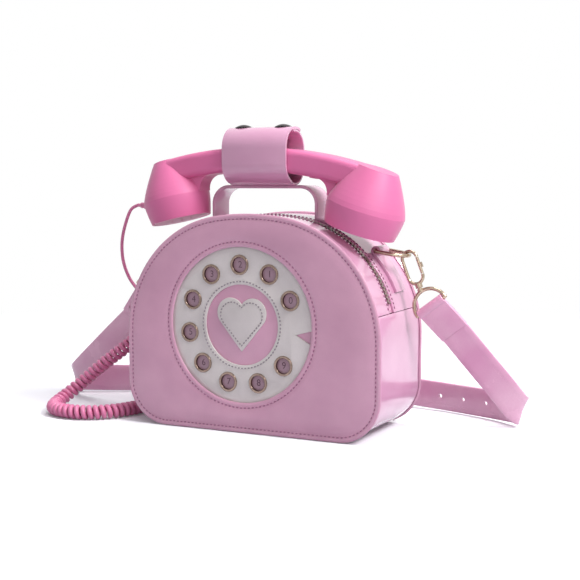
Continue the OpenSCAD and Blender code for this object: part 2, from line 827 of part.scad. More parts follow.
// Frame of a strap loop: origin on its bar, Y along the bar, bow towards minus X
module loop_place(side) {
    on_side(side) translate([loop_cx, ring_y, loop_cz]) rotate([0, loop_a, 0]) rotate([90, 0, 0]) children();
}

module strap_loop(side) {
    color(GOLD) union() {
        loop_place(side) mirror([1, 0, 0]) half_loop(loop_r, loop_wire);
        hook_place(side) {
            translate([0, 0, -swivel_h - 3]) cylinder(r = post_r, h = post_h);
            translate([0, 0, -swivel_h - 3]) cylinder(r = post_r + 0.9, h = 2.4);
        }
    }
}

module strap_loop_left() { strap_loop(-1); }
module strap_loop_right() { strap_loop(1); }

// ---- Strap ----
end_turn_right = 25;
end_turn_left = 4;
end_len = 28;
end_eye_r = loop_wire / 2 + eye_clear + strap_t * 0.8;

module strap_end(side) {
    color(PATENT) loop_place(side) rotate([0, side > 0 ? end_turn_right : end_turn_left, 0]) difference() {
        union() {
            translate([0, strap_w / 2, 0]) rotate([90, 0, 0]) cylinder(r = end_eye_r, h = strap_w);
            translate([0, -strap_w / 2, -strap_t]) cube([end_len, strap_w, 2 * strap_t]);
        }
        translate([0, strap_w / 2 + 1, 0]) rotate([90, 0, 0]) cylinder(d = loop_wire + 2 * eye_clear, h = strap_w + 2);
    }
}

module strap_end_left() { strap_end(-1); }
module strap_end_right() { strap_end(1); }

// Direction of the strap where it leaves its end piece, the direction of its width, and the place
function end_dir(side) = let (a = side > 0 ? end_turn_right : end_turn_left)
    [side * cos(loop_a) * cos(a), sin(a), -sin(loop_a) * cos(a)];
function end_wide(side) = [side * sin(loop_a), 0, cos(loop_a)];
function end_pt(side, past = 0) = [side * loop_cx, ring_y, loop_cz] + (end_len + past) * end_dir(side);

function unit(v) = v / norm(v);
function spline(a, b, c, d, t) = 0.5 * (2 * b + (c - a) * t + (2 * a - 5 * b + 4 * c - d) * t * t
    + (3 * b - a - 3 * c + d) * t * t * t);
// Points along a smooth curve through the given ones
function smooth(p, n) = let (last = len(p) - 1)
    [for (i = [0 : last - 1]) for (k = [0 : n - 1])
        spline(p[max(i - 1, 0)], p[i], p[i + 1], p[min(i + 2, last)], k / n), p[last]];
function heading(p, i) = unit(p[min(i + 1, len(p) - 1)] - p[max(i - 1, 0)]);

// Closed skin over rings of points, each with the same number of sides
module skin(rings) {
    n = len(rings[0]);
    last = len(rings) - 1;
    faces = concat(
        [for (i = [0 : last - 1]) for (k = [0 : n - 1]) [i * n + k, (i + 1) * n + k, (i + 1) * n + (k + 1) % n]],
        [for (i = [0 : last - 1]) for (k = [0 : n - 1]) [i * n + k, (i + 1) * n + (k + 1) % n, i * n + (k + 1) % n]],
        [for (k = [1 : n - 2]) [0, k, k + 1]],
        [for (k = [1 : n - 2]) [last * n, last * n + k + 1, last * n + k]]);
    polyhedron([for (r = rings) for (q = r) q], faces);
}

// A flat strap along points, with the direction of its width given at each point
module ribbon(points, wides, n, w, t) {
    p = smooth(points, n);
    v = smooth(wides, n);
    skin([for (i = [0 : len(p) - 1])
        let (d = heading(p, i), side = unit(v[i] - (v[i] * d) * d), up = cross(d, side))
        [p[i] - side * w / 2 - up * t / 2, p[i] + side * w / 2 - up * t / 2,
            p[i] + side * w / 2 + up * t / 2, p[i] - side * w / 2 + up * t / 2]]);
}

UPRIGHT = [0, 0, 1];
buckle_y = 116;
buckle_z = 16.6;
strap_z = strap_w / 2 + 0.3;
chape_x = 14;
chape_len = 26;
outer_y = buckle_y + 6.4;

// Route of the long piece: from the right end piece to the fold on the floor, back behind the bag,
// through the buckle, and on as the free tail. Each entry is a point and the direction of its width.
long_route = [
    [end_pt(1), end_wide(1)],
    [end_pt(1, 1.5), end_wide(1)],
    [end_pt(1, 3), end_wide(1)],
    [[158, 41, 56], [0.74, 0.02, 0.66]],
    [[172, 53, 35], [0.6, 0, 0.8]],
    [[182, 61, 19.5], [0.4, 0, 0.92]],
    [[185.5, 66.5, 14.8], [0.32, 0, 0.95]],
    [[183, 72, 14.2], [0.2, 0, 1]],
    [[174, 78.5, 13.8], [0.1, 0, 1]],
    [[150, 92, 12.9], UPRIGHT],
    [[110, 106, 13], UPRIGHT],
    [[70, 111.6, 14.6], UPRIGHT],
    [[36, 112.8, buckle_z], UPRIGHT],
    [[24, 112.6, buckle_z], UPRIGHT],
    [[15, 112.5, buckle_z], UPRIGHT],
    [[9.5, 112.7, buckle_z], UPRIGHT],
    [[5, 114.8, buckle_z], UPRIGHT],
    [[-1.5, 120, buckle_z], UPRIGHT],
    [[-6, 122, buckle_z], UPRIGHT],
    [[-12, outer_y, buckle_z], UPRIGHT],
    [[-30, outer_y, buckle_z], UPRIGHT],
    [[-60, outer_y + 1, 15.6], UPRIGHT]];
// Route of the short piece: from the left end piece to its fold, and back behind the bag to the buckle
short_route = [
    [end_pt(-1), end_wide(-1)],
    [end_pt(-1, 1.5), end_wide(-1)],
    [end_pt(-1, 3), end_wide(-1)],
    [[-164, 19, 61], [-0.74, 0.02, 0.66]],
    [[-191, 26, 40], [-0.62, 0, 0.78]],
    [[-215, 34, 22], [-0.45, 0, 0.9]],
    [[-225, 40, 15.2], [-0.32, 0, 0.95]],
    [[-225, 46.5, 14.3], [-0.2, 0, 1]],
    [[-214, 53, 13.8], [-0.1, 0, 1]],
    [[-170, 77, 12.9], UPRIGHT],
    [[-120, 102, 13], UPRIGHT],
    [[-80, 114, 14.6], UPRIGHT],
    [[-50, buckle_y, buckle_z], UPRIGHT],
    [[-45, buckle_y, buckle_z], UPRIGHT],
    [[-chape_x - chape_len, buckle_y, buckle_z], UPRIGHT]];

hole_r = 1.8;
// Slot that lets the prong through, where the strap crosses it
slot_len = 16;
slot_w = 4;
hole_places = [[150, 92, 12.9], [128, 100.7, 12.9], [106, 107, 13.2]];

module strap_long() {
    color(PATENT) difference() {
        ribbon([for (q = long_route) q[0]], [for (q = long_route) q[1]], 3, strap_w, strap_t);
        for (q = hole_places) translate(q) rotate([0, 0, -18]) rotate([90, 0, 0])
            cylinder(r = hole_r, h = 5 * strap_t, center = true);
        translate([0, buckle_y, buckle_z]) cube([slot_len, 8 * strap_t, slot_w], center = true);
    }
}

module strap_short() {
    color(PATENT) ribbon([for (q = short_route) q[0]], [for (q = short_route) q[1]], 3, strap_w, strap_t);
}

frame_wire = 3;
frame_half_x = 10;
frame_half_z = 14.5;
chape_eye_r = frame_wire / 2 + eye_clear + strap_t * 0.8;
prong_slot = 5;

// The buckle's frame: two bars and two rails, with ball corners
module strap_buckle() {
    color(GOLD) translate([0, buckle_y, buckle_z]) {
        for (x = [-frame_half_x, frame_half_x]) {
            translate([x, 0, -frame_half_z]) cylinder(d = frame_wire, h = 2 * frame_half_z);
            for (z = [-frame_half_z, frame_half_z]) translate([x, 0, z]) sphere(d = frame_wire);
        }
        for (z = [-frame_half_z, frame_half_z])
            translate([-frame_half_x, 0, z]) rotate([0, 90, 0]) cylinder(d = frame_wire, h = 2 * frame_half_x);
    }
}

// The folded end of the short piece round the buckle's bar, slotted for the prong
module buckle_chape() {
    color(PATENT) translate([-frame_half_x, buckle_y, buckle_z]) difference() {
        union() {
            translate([0, 0, -strap_w / 2]) cylinder(r = chape_eye_r, h = strap_w);
            translate([-chape_x - chape_len + frame_half_x, -strap_t, -strap_w / 2])
                cube([chape_x + chape_len - frame_half_x, 2 * strap_t, strap_w]);
        }
        translate([0, 0, -strap_w / 2 - 1]) cylinder(r = frame_wire / 2 + eye_clear, h = strap_w + 2);
        translate([-8, -6, -prong_slot / 2]) cube([16, 12, prong_slot]);
    }
}

prong_r = 1.1;

// The prong: a ring on the bar and a tongue that rests on the far bar
module buckle_prong() {
    rest_y = frame_wire / 2 + prong_r;
    color(GOLD) translate([0, buckle_y, buckle_z]) difference() {
        union() {
            translate([-frame_half_x, 0, -1.6]) cylinder(r = frame_wire / 2 + 1.4, h = 3.2);
            translate([-frame_half_x, rest_y, 0]) rotate([0, 90, 0])
                cylinder(r = prong_r, h = 2 * frame_half_x + 1.5);
        }
        translate([-frame_half_x, 0, -3]) cylinder(r = frame_wire / 2 + 0.05, h = 6);
    }
}

keeper_x = -44;
keeper_w = 8;
keeper_t = 1.6;

// The keeper: a band round the short piece and the free tail
module strap_keeper() {
    y0 = buckle_y - strap_t - 0.4;
    y1 = outer_y + strap_t / 2 + 1.4;
    z_half = strap_w / 2 + 0.6;
    color(PATENT) translate([keeper_x, 0, 16.2]) difference() {
        translate([0, y0 - keeper_t, -z_half - keeper_t]) cube([keeper_w, y1 - y0 + 2 * keeper_t, 2 * (z_half + keeper_t)]);
        translate([-1, y0, -z_half]) cube([keeper_w + 2, y1 - y0, 2 * z_half]);
    }
}

// ---- Cord ----
curl_r = (curl_d - curl_wire_d) / 2;
floor_z = curl_d / 2 + 0.2;
// Points on the line of the strain relief, past its end
function relief_pt(past) = handset_pt([relief_x - relief_len - past, 0, relief_z]);
lead_gap = 0.05;

lead_route = [relief_pt(lead_gap), relief_pt(2), relief_pt(4), [-131, -8, 171], [-138, -7, 156], [-142, -5, 142], [-142, -3, 127],
    [-138, 0, 113], [-130, 2, 102], [-123, 3, 94], [-121, 3, 90], [-121, 3, 86]];
curl_route = [[-121, 3, 86], [-121.5, 3, 79], [-125.5, 2.5, 70], [-133, 1, 62], [-143, -1.5, 53], [-156, -5, 43],
    [-169, -9, 32], [-180, -15, 21], [-188, -25, 12], [-189, -38, 7.2], [-182, -50, floor_z],
    [-168, -57, floor_z], [-151, -57, floor_z], [-136, -49.5, floor_z], [-126, -37, floor_z], [-120, -20, floor_z],
    [-118.5, 0, floor_z], [-118.5, 28, floor_z], [-116, 48, floor_z], [-107, 64, floor_z], [-90, 76, floor_z],
    [-68, 81, floor_z], [-40, 82, floor_z], [-32, 82, floor_z]];
plug_z = 4.6;
plug_x = 50;
plug_y = 54;
tail_route = [[-32, 82, floor_z], [-26, 82, floor_z], [-12, 80, 4], [1, 73, 2], [13, 64, 1.9], [24, 57.4, 2.7],
    [34, plug_y + 0.5, 4.2], [42, plug_y, plug_z], [plug_x, plug_y, plug_z]];

// Frames carried along a route without twisting: [point, heading, side]
function carried(p) = [for (i = 0, d = heading(p, 0), s = unit(cross(d, abs(d[2]) < 0.9 ? [0, 0, 1] : [0, 1, 0]));
    i < len(p); i = i + 1, d = heading(p, min(i, len(p) - 1)), s = unit(s - (s * d) * d)) [p[i], d, s]];

module tube(points, n, d, sides) {
    f = carried(smooth(points, n));
    skin([for (q = f) let (up = cross(q[1], q[2]))
        [for (k = [0 : sides - 1]) let (a = k * 360 / sides) q[0] + d / 2 * (cos(a) * q[2] + sin(a) * up)]]);
}

module cord_lead() { color(SOFT_PINK) tube(lead_route, 3, cord_d, 8); }
module cord_tail() { color(SOFT_PINK) tube(tail_route, 2, cord_d, 8); }

// The curly part: a helix wound on the route, closing to the route's own line at both ends
curl_rings = 8;
curl_sides = 6;
route_fine = 10;
curl_frames = carried(smooth(curl_route, route_fine));
curl_steps = len(curl_frames) - 1;
curl_dist = [for (i = 0, s = 0; i <= curl_steps; i = i + 1,
    s = s + (i <= curl_steps ? norm(curl_frames[i][0] - curl_frames[i - 1][0]) : 0)) s];
curl_total = curl_dist[curl_steps];
straight_run = 2 * cord_d;
helix_run = curl_total - 2 * straight_run;

function blend(a, b, t) = a + (b - a) * t;
// Frame at a distance along the route
function route_at(s) = let (i = min(max(search_dist(s, 0, curl_steps), 0), curl_steps - 1),
    t = (s - curl_dist[i]) / max(curl_dist[i + 1] - curl_dist[i], 0.001), a = curl_frames[i], b = curl_frames[i + 1])
    [blend(a[0], b[0], t), unit(blend(a[1], b[1], t)), unit(blend(a[2], b[2], t))];
function search_dist(s, lo, hi) = hi - lo <= 1 ? lo
    : let (m = floor((lo + hi) / 2)) s < curl_dist[m] ? search_dist(s, lo, m) : search_dist(s, m, hi);
function swell(u) = let (e = min(u, curls - u)) e >= 1 ? 1 : 0.5 - 0.5 * cos(180 * max(e, 0));
// Middle of the cord after u curls
function helix_at(u) = let (f = route_at(straight_run + helix_run * u / curls), up = cross(f[1], f[2]))
    f[0] + curl_r * swell(u) * (cos(360 * u) * f[2] + sin(360 * u) * up);

helix_points = [for (i = [0 : curls * curl_rings]) helix_at(i / curl_rings)];
curl_line = concat([curl_frames[0][0], curl_frames[0][0] + cord_d * curl_frames[0][1]], helix_points,
    [curl_frames[curl_steps][0] - cord_d * curl_frames[curl_steps][1], curl_frames[curl_steps][0]]);

module cord_curls() {
    last = len(curl_line) - 1;
    color(SOFT_PINK) skin([for (i = [0 : last])
        let (u = min(max(i - 2, 0) / curl_rings, curls), f = route_at(straight_run + helix_run * u / curls),
            d = i < 2 ? curl_frames[0][1] : i > last - 2 ? curl_frames[curl_steps][1] : heading(curl_line, i),
            out = cos(360 * u) * f[2] + sin(360 * u) * cross(f[1], f[2]),
            s = unit(out - (out * d) * d), up = cross(d, s))
        [for (k = [0 : curl_sides - 1]) let (a = k * 360 / curl_sides)
            curl_line[i] + curl_wire_d / 2 * (cos(a) * s + sin(a) * up)]]);
}

// Least space between a curl and the next, measured on the cord's middle line
neighbour_gap = min([for (i = [curl_rings : len(helix_points) - 1 - curl_rings - 3])
    min([for (k = [-3 : 3]) norm(helix_points[i] - helix_points[i + curl_rings + k])])]) - curl_wire_d;
echo(least_gap_between_curls = neighbour_gap, curl_run = curl_total);  // cord_curls

plug_r = 4.2;
plug_len = 22;
collar_len = 4;
pin_len = 14;

module plug_body() {
    color(SOFT_PINK) translate([plug_x, plug_y, plug_z]) rotate([0, 90, 0]) union() {
        cylinder(r = plug_r * 0.62, h = collar_len);
        translate([0, 0, collar_len]) cylinder(r = plug_r, h = plug_len - collar_len);
    }
}

module plug_pin() {
    color(GOLD) translate([plug_x + plug_len, plug_y, plug_z]) rotate([0, 90, 0]) union() {
        cylinder(r = plug_pin_r, h = pin_len);
        cylinder(r = plug_pin_r + 0.9, h = 0.8);
    }
}

front_panel();
back_panel();
gusset_band();
zip_strip_front();
zip_strip_rear();
zip_tape_front();
zip_tape_rear();
zip_teeth_front();
zip_teeth_rear();
base_board();
dial_backing();
dial_ring();
dial_eyelets();
heart_patch();
top_handle();
ring_tab_left();
ring_tab_right();
cuff_back();
snap_studs();
strap_end_left();
strap_end_right();
strap_long();
strap_short();
buckle_chape();
strap_buckle();
buckle_prong();
strap_keeper();
strap_loop_left();
strap_loop_right();
cord_lead();
cord_curls();
cord_tail();
plug_body();
plug_pin();
zip_slider();
zip_pull();
cuff_flap();
snap_caps();
handset_shell();
earpiece_cap();
mouthpiece_cap();
earpiece_speaker();
microphone();
strain_relief();
call_button();
d_ring_left();
d_ring_right();
hook_left();
hook_right();
gate_left();
gate_right();
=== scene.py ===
"""A telephone-shaped shoulder bag: its leather, thread, metal and cord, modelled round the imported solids.

Run it as a script in Blender. The sidebar panel lists one operator for each group of pieces.
"""

import json
import math

import bmesh
import bpy
from bpy.props import FloatProperty, FloatVectorProperty, IntProperty, PointerProperty
from mathutils import Matrix, Vector, noise

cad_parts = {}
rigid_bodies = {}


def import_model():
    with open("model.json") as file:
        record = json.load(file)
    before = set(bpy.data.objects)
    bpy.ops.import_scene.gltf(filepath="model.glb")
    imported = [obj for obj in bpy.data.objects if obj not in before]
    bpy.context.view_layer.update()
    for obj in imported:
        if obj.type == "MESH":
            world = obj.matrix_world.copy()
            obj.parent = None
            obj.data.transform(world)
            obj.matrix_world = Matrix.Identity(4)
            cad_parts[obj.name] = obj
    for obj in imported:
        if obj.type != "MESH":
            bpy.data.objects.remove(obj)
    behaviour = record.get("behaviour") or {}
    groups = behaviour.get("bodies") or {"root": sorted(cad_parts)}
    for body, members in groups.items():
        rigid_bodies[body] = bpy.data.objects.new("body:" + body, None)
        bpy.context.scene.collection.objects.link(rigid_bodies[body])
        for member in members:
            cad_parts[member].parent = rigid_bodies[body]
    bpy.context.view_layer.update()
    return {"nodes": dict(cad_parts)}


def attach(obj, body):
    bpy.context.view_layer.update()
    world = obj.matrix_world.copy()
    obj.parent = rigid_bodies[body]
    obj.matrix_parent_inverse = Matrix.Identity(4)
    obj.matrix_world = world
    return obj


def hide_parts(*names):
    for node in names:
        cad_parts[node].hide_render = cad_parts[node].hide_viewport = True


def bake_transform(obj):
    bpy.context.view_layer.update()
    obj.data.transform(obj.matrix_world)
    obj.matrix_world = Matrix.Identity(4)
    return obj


bl_info = {
    "name": "Telephone shoulder bag",
    "version": (1, 0, 0),
    "blender": (4, 5, 0),
    "location": "View3D > Sidebar > Telephone bag",
    "description": "Leather, thread, metal and cord for a telephone-shaped shoulder bag",
    "category": "Add Mesh",
}

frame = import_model()
NODES = frame["nodes"]
MM = 0.001

# Sizes of the bag, in millimetres, as the solids have them
HALF_W = 110
SHOULDER_X, SPRING_Z = 15, 75
CROWN_Z, JOIN_A = -28.923, 81.787
CORNER_R = 35
FRONT_Y, IN_FRONT_Y, IN_REAR_Y, REAR_Y = -45, -42.6, 42.6, 45
SEAM_LIP, WALL_T, ZIP_SEAM_Z = 1.6, 2, 96
ZIP_Y, ZIP_GAP = -12, 9
DIAL_X, DIAL_Z, OPEN_R, HOLE_R, FINGER_R = -7, 84.5, 60.5, 31.5, 46.8
FIRST_A, STEP_A = 26.2, 360 / 11
STITCH_INSET = 4.2
STRAP_W, STRAP_T = 24, 2.4
CORD_D, CURL_D, CURLS, CURL_WIRE = 2.8, 12.4, 75, 4.2
STRAP_HOLE_R, STRAP_HOLE_TURN = 1.8, -18
PRONG_SLOT, PRONG_SLOT_AT = (16, 20, 4), (0, 116, 16.6)
HEART_W, HEART_H, HEART_ROW_IN = 43, 42, 3.25

# Sizes of the finish, in millimetres unless named otherwise
MERGE_M = 0.00002
SKIN_T = 1.6
DISC_R, DISC_T, DISC_Y = 5.85, 0.5, -41.3
DIGIT_H, DIGIT_T, DIGIT_Y = 7.4, 0.03, -41.57
SEWN_Y, HEART_SEWN_Y = -42.6, -42.4


# ---- Small helpers ----
def paint(code):
    """An sRGB hex colour as linear light."""
    parts = [int(code[i : i + 2], 16) / 255 for i in (1, 3, 5)]
    return tuple(c / 12.92 if c <= 0.04045 else ((c + 0.055) / 1.055) ** 2.4 for c in parts) + (1.0,)


def add(tree, kind, settings=(), values=(), links=()):
    """Adds a node, with its settings, its sockets' values and its links."""
    node = tree.nodes.new(kind)
    for name, value in dict(settings).items():
        setattr(node, name, value)
    for name, value in dict(values).items():
        node.inputs[name].default_value = value
    for name, source in dict(links).items():
        tree.links.new(source, node.inputs[name])
    return node


def finish(name):
    """An empty material and its node tree."""
    material = bpy.data.materials.new(name)
    material.use_nodes = True
    material.node_tree.nodes.clear()
    return material, material.node_tree


def fresh():
    if bpy.context.object is not None and bpy.context.object.mode != "OBJECT":
        bpy.ops.object.mode_set(mode="OBJECT")
    bpy.ops.object.select_all(action="DESELECT")


def only(obj):
    fresh()
    bpy.context.view_layer.objects.active = obj
    obj.select_set(True)


def edit(obj, kind="VERT"):
    only(obj)
    bpy.ops.object.mode_set(mode="EDIT")
    bpy.ops.mesh.select_mode(type=kind)
    bpy.ops.mesh.select_all(action="DESELECT")


def point_mesh(name):
    """A new mesh of one point at the origin, left in edit mode."""
    fresh()
    bpy.ops.mesh.primitive_plane_add(size=0.001)
    obj = bpy.context.object
    obj.name = name
    bpy.ops.object.mode_set(mode="EDIT")
    bpy.ops.mesh.select_mode(type="VERT")
    bpy.ops.mesh.select_all(action="SELECT")
    bpy.ops.mesh.merge(type="CENTER")
    return obj


def modifier(obj, kind, **settings):
    """Adds a modifier and applies it."""
    only(obj)
    made = obj.modifiers.new(kind.title(), kind)
    for name, value in settings.items():
        setattr(made, name, value)
    bpy.ops.object.modifier_apply(modifier=made.name)


def bevel(obj, width, segments, degrees=50):
    """Rounds the edges that turn by more than an angle. The width is in millimetres."""
    modifier(obj, "BEVEL", width=width * MM, segments=segments, limit_method="ANGLE", angle_limit=math.radians(degrees))


def carve(obj, tool):
    """Cuts a tool out of a piece, and throws the tool away."""
    only(tool)
    bpy.ops.object.transform_apply(location=True, rotation=True, scale=True)
    modifier(obj, "BOOLEAN", operation="DIFFERENCE", object=tool, solver="EXACT")
    bpy.data.objects.remove(tool)


def smooth(obj, degrees=35):
    only(obj)
    bpy.ops.object.shade_smooth_by_angle(angle=math.radians(degrees))


def outward(obj):
    edit(obj)
    bpy.ops.mesh.select_all(action="SELECT")
    bpy.ops.mesh.remove_doubles(threshold=MERGE_M)
    bpy.ops.mesh.normals_make_consistent(inside=False)
    bpy.ops.object.mode_set(mode="OBJECT")


def padded(skin, node):
    """Thickens a panel's skin and dresses it."""
    outward(skin)
    modifier(skin, "SOLIDIFY", thickness=SKIN_T * MM, offset=-1, use_even_offset=False)
    smooth(skin, 50)
    dress(skin, stuff("panel"), "bag", (node,))


def dress(obj, material, body, replaces=()):
    """Gives a piece its material and its body, and hides the solids that it replaces."""
    obj.data.materials.clear()
    obj.data.materials.append(material)
    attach(obj, body)
    if replaces:
        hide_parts(*replaces)


def turned(p, centre, degrees):
    a = math.radians(degrees)
    x, z = p[0] - centre[0], p[1] - centre[1]
    return centre[0] + x * math.cos(a) - z * math.sin(a), centre[1] + x * math.sin(a) + z * math.cos(a)


def bag_moves(inset):
    """The bag's outline as a start and moves, from the middle of the base and anticlockwise as the dial is seen."""
    w = HALF_W - inset
    foot = HALF_W - CORNER_R
    return (0, inset), [
        ("line", (foot, inset), 8), ("arc", (foot, CORNER_R), 90, 12), ("line", (w, SPRING_Z), 6),
        ("arc", (SHOULDER_X, SPRING_Z), JOIN_A, 30), ("arc", (0, CROWN_Z), 2 * (90 - JOIN_A), 14),
        ("arc", (-SHOULDER_X, SPRING_Z), JOIN_A, 30), ("line", (-w, CORNER_R), 6),
        ("arc", (-foot, CORNER_R), 90, 12), ("line", (0, inset), 8),
    ]


def line_points(start, moves, fine=1):
    """The same moves as points."""
    points, here = [start], start
    for kind, *rest in moves:
        if kind == "line":
            to, n = rest
            n *= fine
            points += [(here[0] + (to[0] - here[0]) * k / n, here[1] + (to[1] - here[1]) * k / n)
                       for k in range(1, n + 1)]
        else:
            centre, angle, n = rest
            n *= fine
            points += [turned(here, centre, angle * k / n) for k in range(1, n + 1)]
        here = points[-1]
    return points


def trace(start, moves, y):
    """Draws the moves from the selected point at the origin, by extruding and spinning it, in the mesh being edited."""
    here = start
    bpy.ops.transform.translate(value=(start[0] * MM, y * MM, start[1] * MM))
    for kind, *rest in moves:
        if kind == "line":
            to, n = rest
            step = ((to[0] - here[0]) / n * MM, 0, (to[1] - here[1]) / n * MM)
            for _ in range(n):
                bpy.ops.mesh.extrude_vertices_move(TRANSFORM_OT_translate={"value": step})
            here = to
        else:
            centre, angle, n = rest
            bpy.ops.mesh.spin(
                steps=n, angle=math.radians(angle), center=(centre[0] * MM, y * MM, centre[1] * MM), axis=(0, 1, 0)
            )
            here = turned(here, centre, angle)


def wall(name, moves, y0, y1, steps):
    """A wall: an outline drawn at y0 and drawn out to y1."""
    obj = point_mesh(name)
    trace(moves[0], moves[1], y0)
    bpy.ops.mesh.select_all(action="SELECT")
    bpy.ops.mesh.remove_doubles(threshold=MERGE_M)
    bpy.ops.mesh.select_mode(type="EDGE")
    bpy.ops.mesh.select_all(action="SELECT")
    for _ in range(steps):
        bpy.ops.mesh.extrude_edges_move(TRANSFORM_OT_translate={"value": (0, (y1 - y0) / steps * MM, 0)})
    bpy.ops.mesh.select_all(action="SELECT")
    bpy.ops.mesh.normals_make_consistent(inside=False)
    bpy.ops.object.mode_set(mode="OBJECT")
    return obj


def cut_at(obj, z, keep_above):
    edit(obj)
    bpy.ops.mesh.select_all(action="SELECT")
    bpy.ops.mesh.bisect(
        plane_co=(0, 0, z * MM), plane_no=(0, 0, 1), clear_inner=keep_above, clear_outer=not keep_above
    )
    bpy.ops.object.mode_set(mode="OBJECT")


def rings(name, outlines):
    """A skin bridged across outlines, each a start, moves and a depth, all with the same number of points."""
    obj = point_mesh(name)
    for k, (start, moves, y) in enumerate(outlines):
        if k:
            bpy.ops.mesh.select_all(action="DESELECT")
            bpy.ops.mesh.primitive_plane_add(size=0.001)
            bpy.ops.mesh.merge(type="CENTER")
        trace(start, moves, y)
        bpy.ops.mesh.select_linked()
        bpy.ops.mesh.remove_doubles(threshold=MERGE_M)
        bpy.ops.object.vertex_group_assign_new()
    names = [g.name for g in obj.vertex_groups]
    for a, b in zip(names, names[1:]):
        bpy.ops.mesh.select_all(action="DESELECT")
        for g in (a, b):
            bpy.ops.object.vertex_group_set_active(group=g)
            bpy.ops.object.vertex_group_select()
        bpy.ops.mesh.select_mode(type="EDGE")
        bpy.ops.mesh.bridge_edge_loops(type="SINGLE")
        bpy.ops.mesh.select_mode(type="VERT")
    bpy.ops.object.mode_set(mode="OBJECT")
    obj.vertex_groups.clear()
    return obj


def circle_moves(x, z, r):
    """A circle whose points stand in the same order as the bag's outline."""
    return (x, z - r), [("arc", (x, z), 360, 126)]


def ripple(obj, amount, size, seed, hold):
    """Moves each point a little along its normal, as hand-made leather lies. hold(co) scales it down to 0."""
    normals = [v.normal.copy() for v in obj.data.vertices]
    for v, n in zip(obj.data.vertices, normals):
        v.co += n * (amount * MM * hold(v.co) * noise.noise(v.co / (size * MM) + Vector((seed, 0, 0))))


def leather_copy(node, name, width, segments):
    """A merged copy of a solid, with its edges rounded as skived and painted leather has them."""
    obj = NODES[node].copy()
    obj.data = NODES[node].data.copy()
    obj.parent = None
    for key in [k for k in obj.keys() if k.startswith("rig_")]:
        del obj[key]
    bpy.context.scene.collection.objects.link(obj)
    obj.name = name
    edit(obj)
    bpy.ops.mesh.select_all(action="SELECT")
    bpy.ops.mesh.remove_doubles(threshold=MERGE_M)
    bpy.ops.mesh.dissolve_limited(angle_limit=math.radians(0.5))
    bpy.ops.object.mode_set(mode="OBJECT")
    bevel(obj, width, segments, 30)
    smooth(obj)
    return obj


def stitches(name, points, pitch, length, thread, out, body, material, closed=True):
    """A row of stitches: one stitch, modelled once, repeated along a path by an array and a curve."""
    points = [Vector(p) * MM for p in points]
    run = sum((b - a).length for a, b in zip(points, points[1:] + (points[:1] if closed else [])))
    count = max(2, round(run / (pitch * MM)))
    fresh()
    data = bpy.data.curves.new(name + "_path", "CURVE")
    data.dimensions = "3D"
    path = bpy.data.objects.new(name + "_path", data)
    bpy.context.scene.collection.objects.link(path)
    spline = data.splines.new("POLY")
    spline.points.add(len(points) - 1)
    for place, p in zip(spline.points, points):
        place.co = (*p, 1)
    spline.use_cyclic_u = closed
    # One stitch lies along X, with its ends dipping into the leather
    bpy.ops.mesh.primitive_cylinder_add(vertices=6, radius=thread / 2 * MM, depth=length * MM,
                                        rotation=(0, math.pi / 2, 0), end_fill_type="NGON")
    stitch = bpy.context.object
    stitch.name = name
    bpy.ops.object.transform_apply(location=True, rotation=True, scale=True)
    edit(stitch, "FACE")
    for end in (-1, 1):
        bpy.ops.mesh.select_all(action="DESELECT")
        mesh = bmesh.from_edit_mesh(stitch.data)
        for f in mesh.faces:
            f.select = f.normal.x * end > 0.9
        bmesh.update_edit_mesh(stitch.data)
        bpy.ops.mesh.extrude_region_move(TRANSFORM_OT_translate={"value": (end * length * 0.14 * MM, 0, 0)})
        bpy.ops.transform.resize(value=(1, 0.45, 0.45))
    bpy.ops.mesh.select_all(action="SELECT")
    bpy.ops.transform.translate(value=(length / 2 * MM, 0, 0))
    bpy.ops.object.mode_set(mode="OBJECT")
    modifier(stitch, "ARRAY", count=count, use_relative_offset=False, use_constant_offset=True,
             constant_offset_displace=(run / count, 0, 0))
    modifier(stitch, "CURVE", object=path, deform_axis="POS_X")
    bpy.data.objects.remove(path)
    stitch.data.transform(Matrix.Translation(Vector(out) * MM))
    only(stitch)
    bpy.ops.object.shade_smooth()
    dress(stitch, material, body)


# ---- Routes of the cord and the strap, as the solids have them ----
def along(points, n):
    """Points on a smooth curve through the given ones."""
    made, last = [], len(points) - 1
    p = [Vector(q) for q in points]
    for i in range(last):
        a, b, c, d = p[max(i - 1, 0)], p[i], p[i + 1], p[min(i + 2, last)]
        for k in range(n):
            t = k / n
            made.append(0.5 * (2 * b + (c - a) * t + (2 * a - 5 * b + 4 * c - d) * t * t
                               + (3 * b - a - 3 * c + d) * t**3))
    return made + [p[last]]


def headings(p):
    return [(p[min(i + 1, len(p) - 1)] - p[max(i - 1, 0)]).normalized() for i in range(len(p))]


def carried(p):
    """Frames carried along a route without twisting: point, heading, side."""
    made, side = [], None
    for q, d in zip(p, headings(p)):
        if side is None:
            side = d.cross(Vector((0, 0, 1) if abs(d.z) < 0.9 else (0, 1, 0)))
        side = (side - side.dot(d) * d).normalized()
        made.append((q, d, side.copy()))
    return made


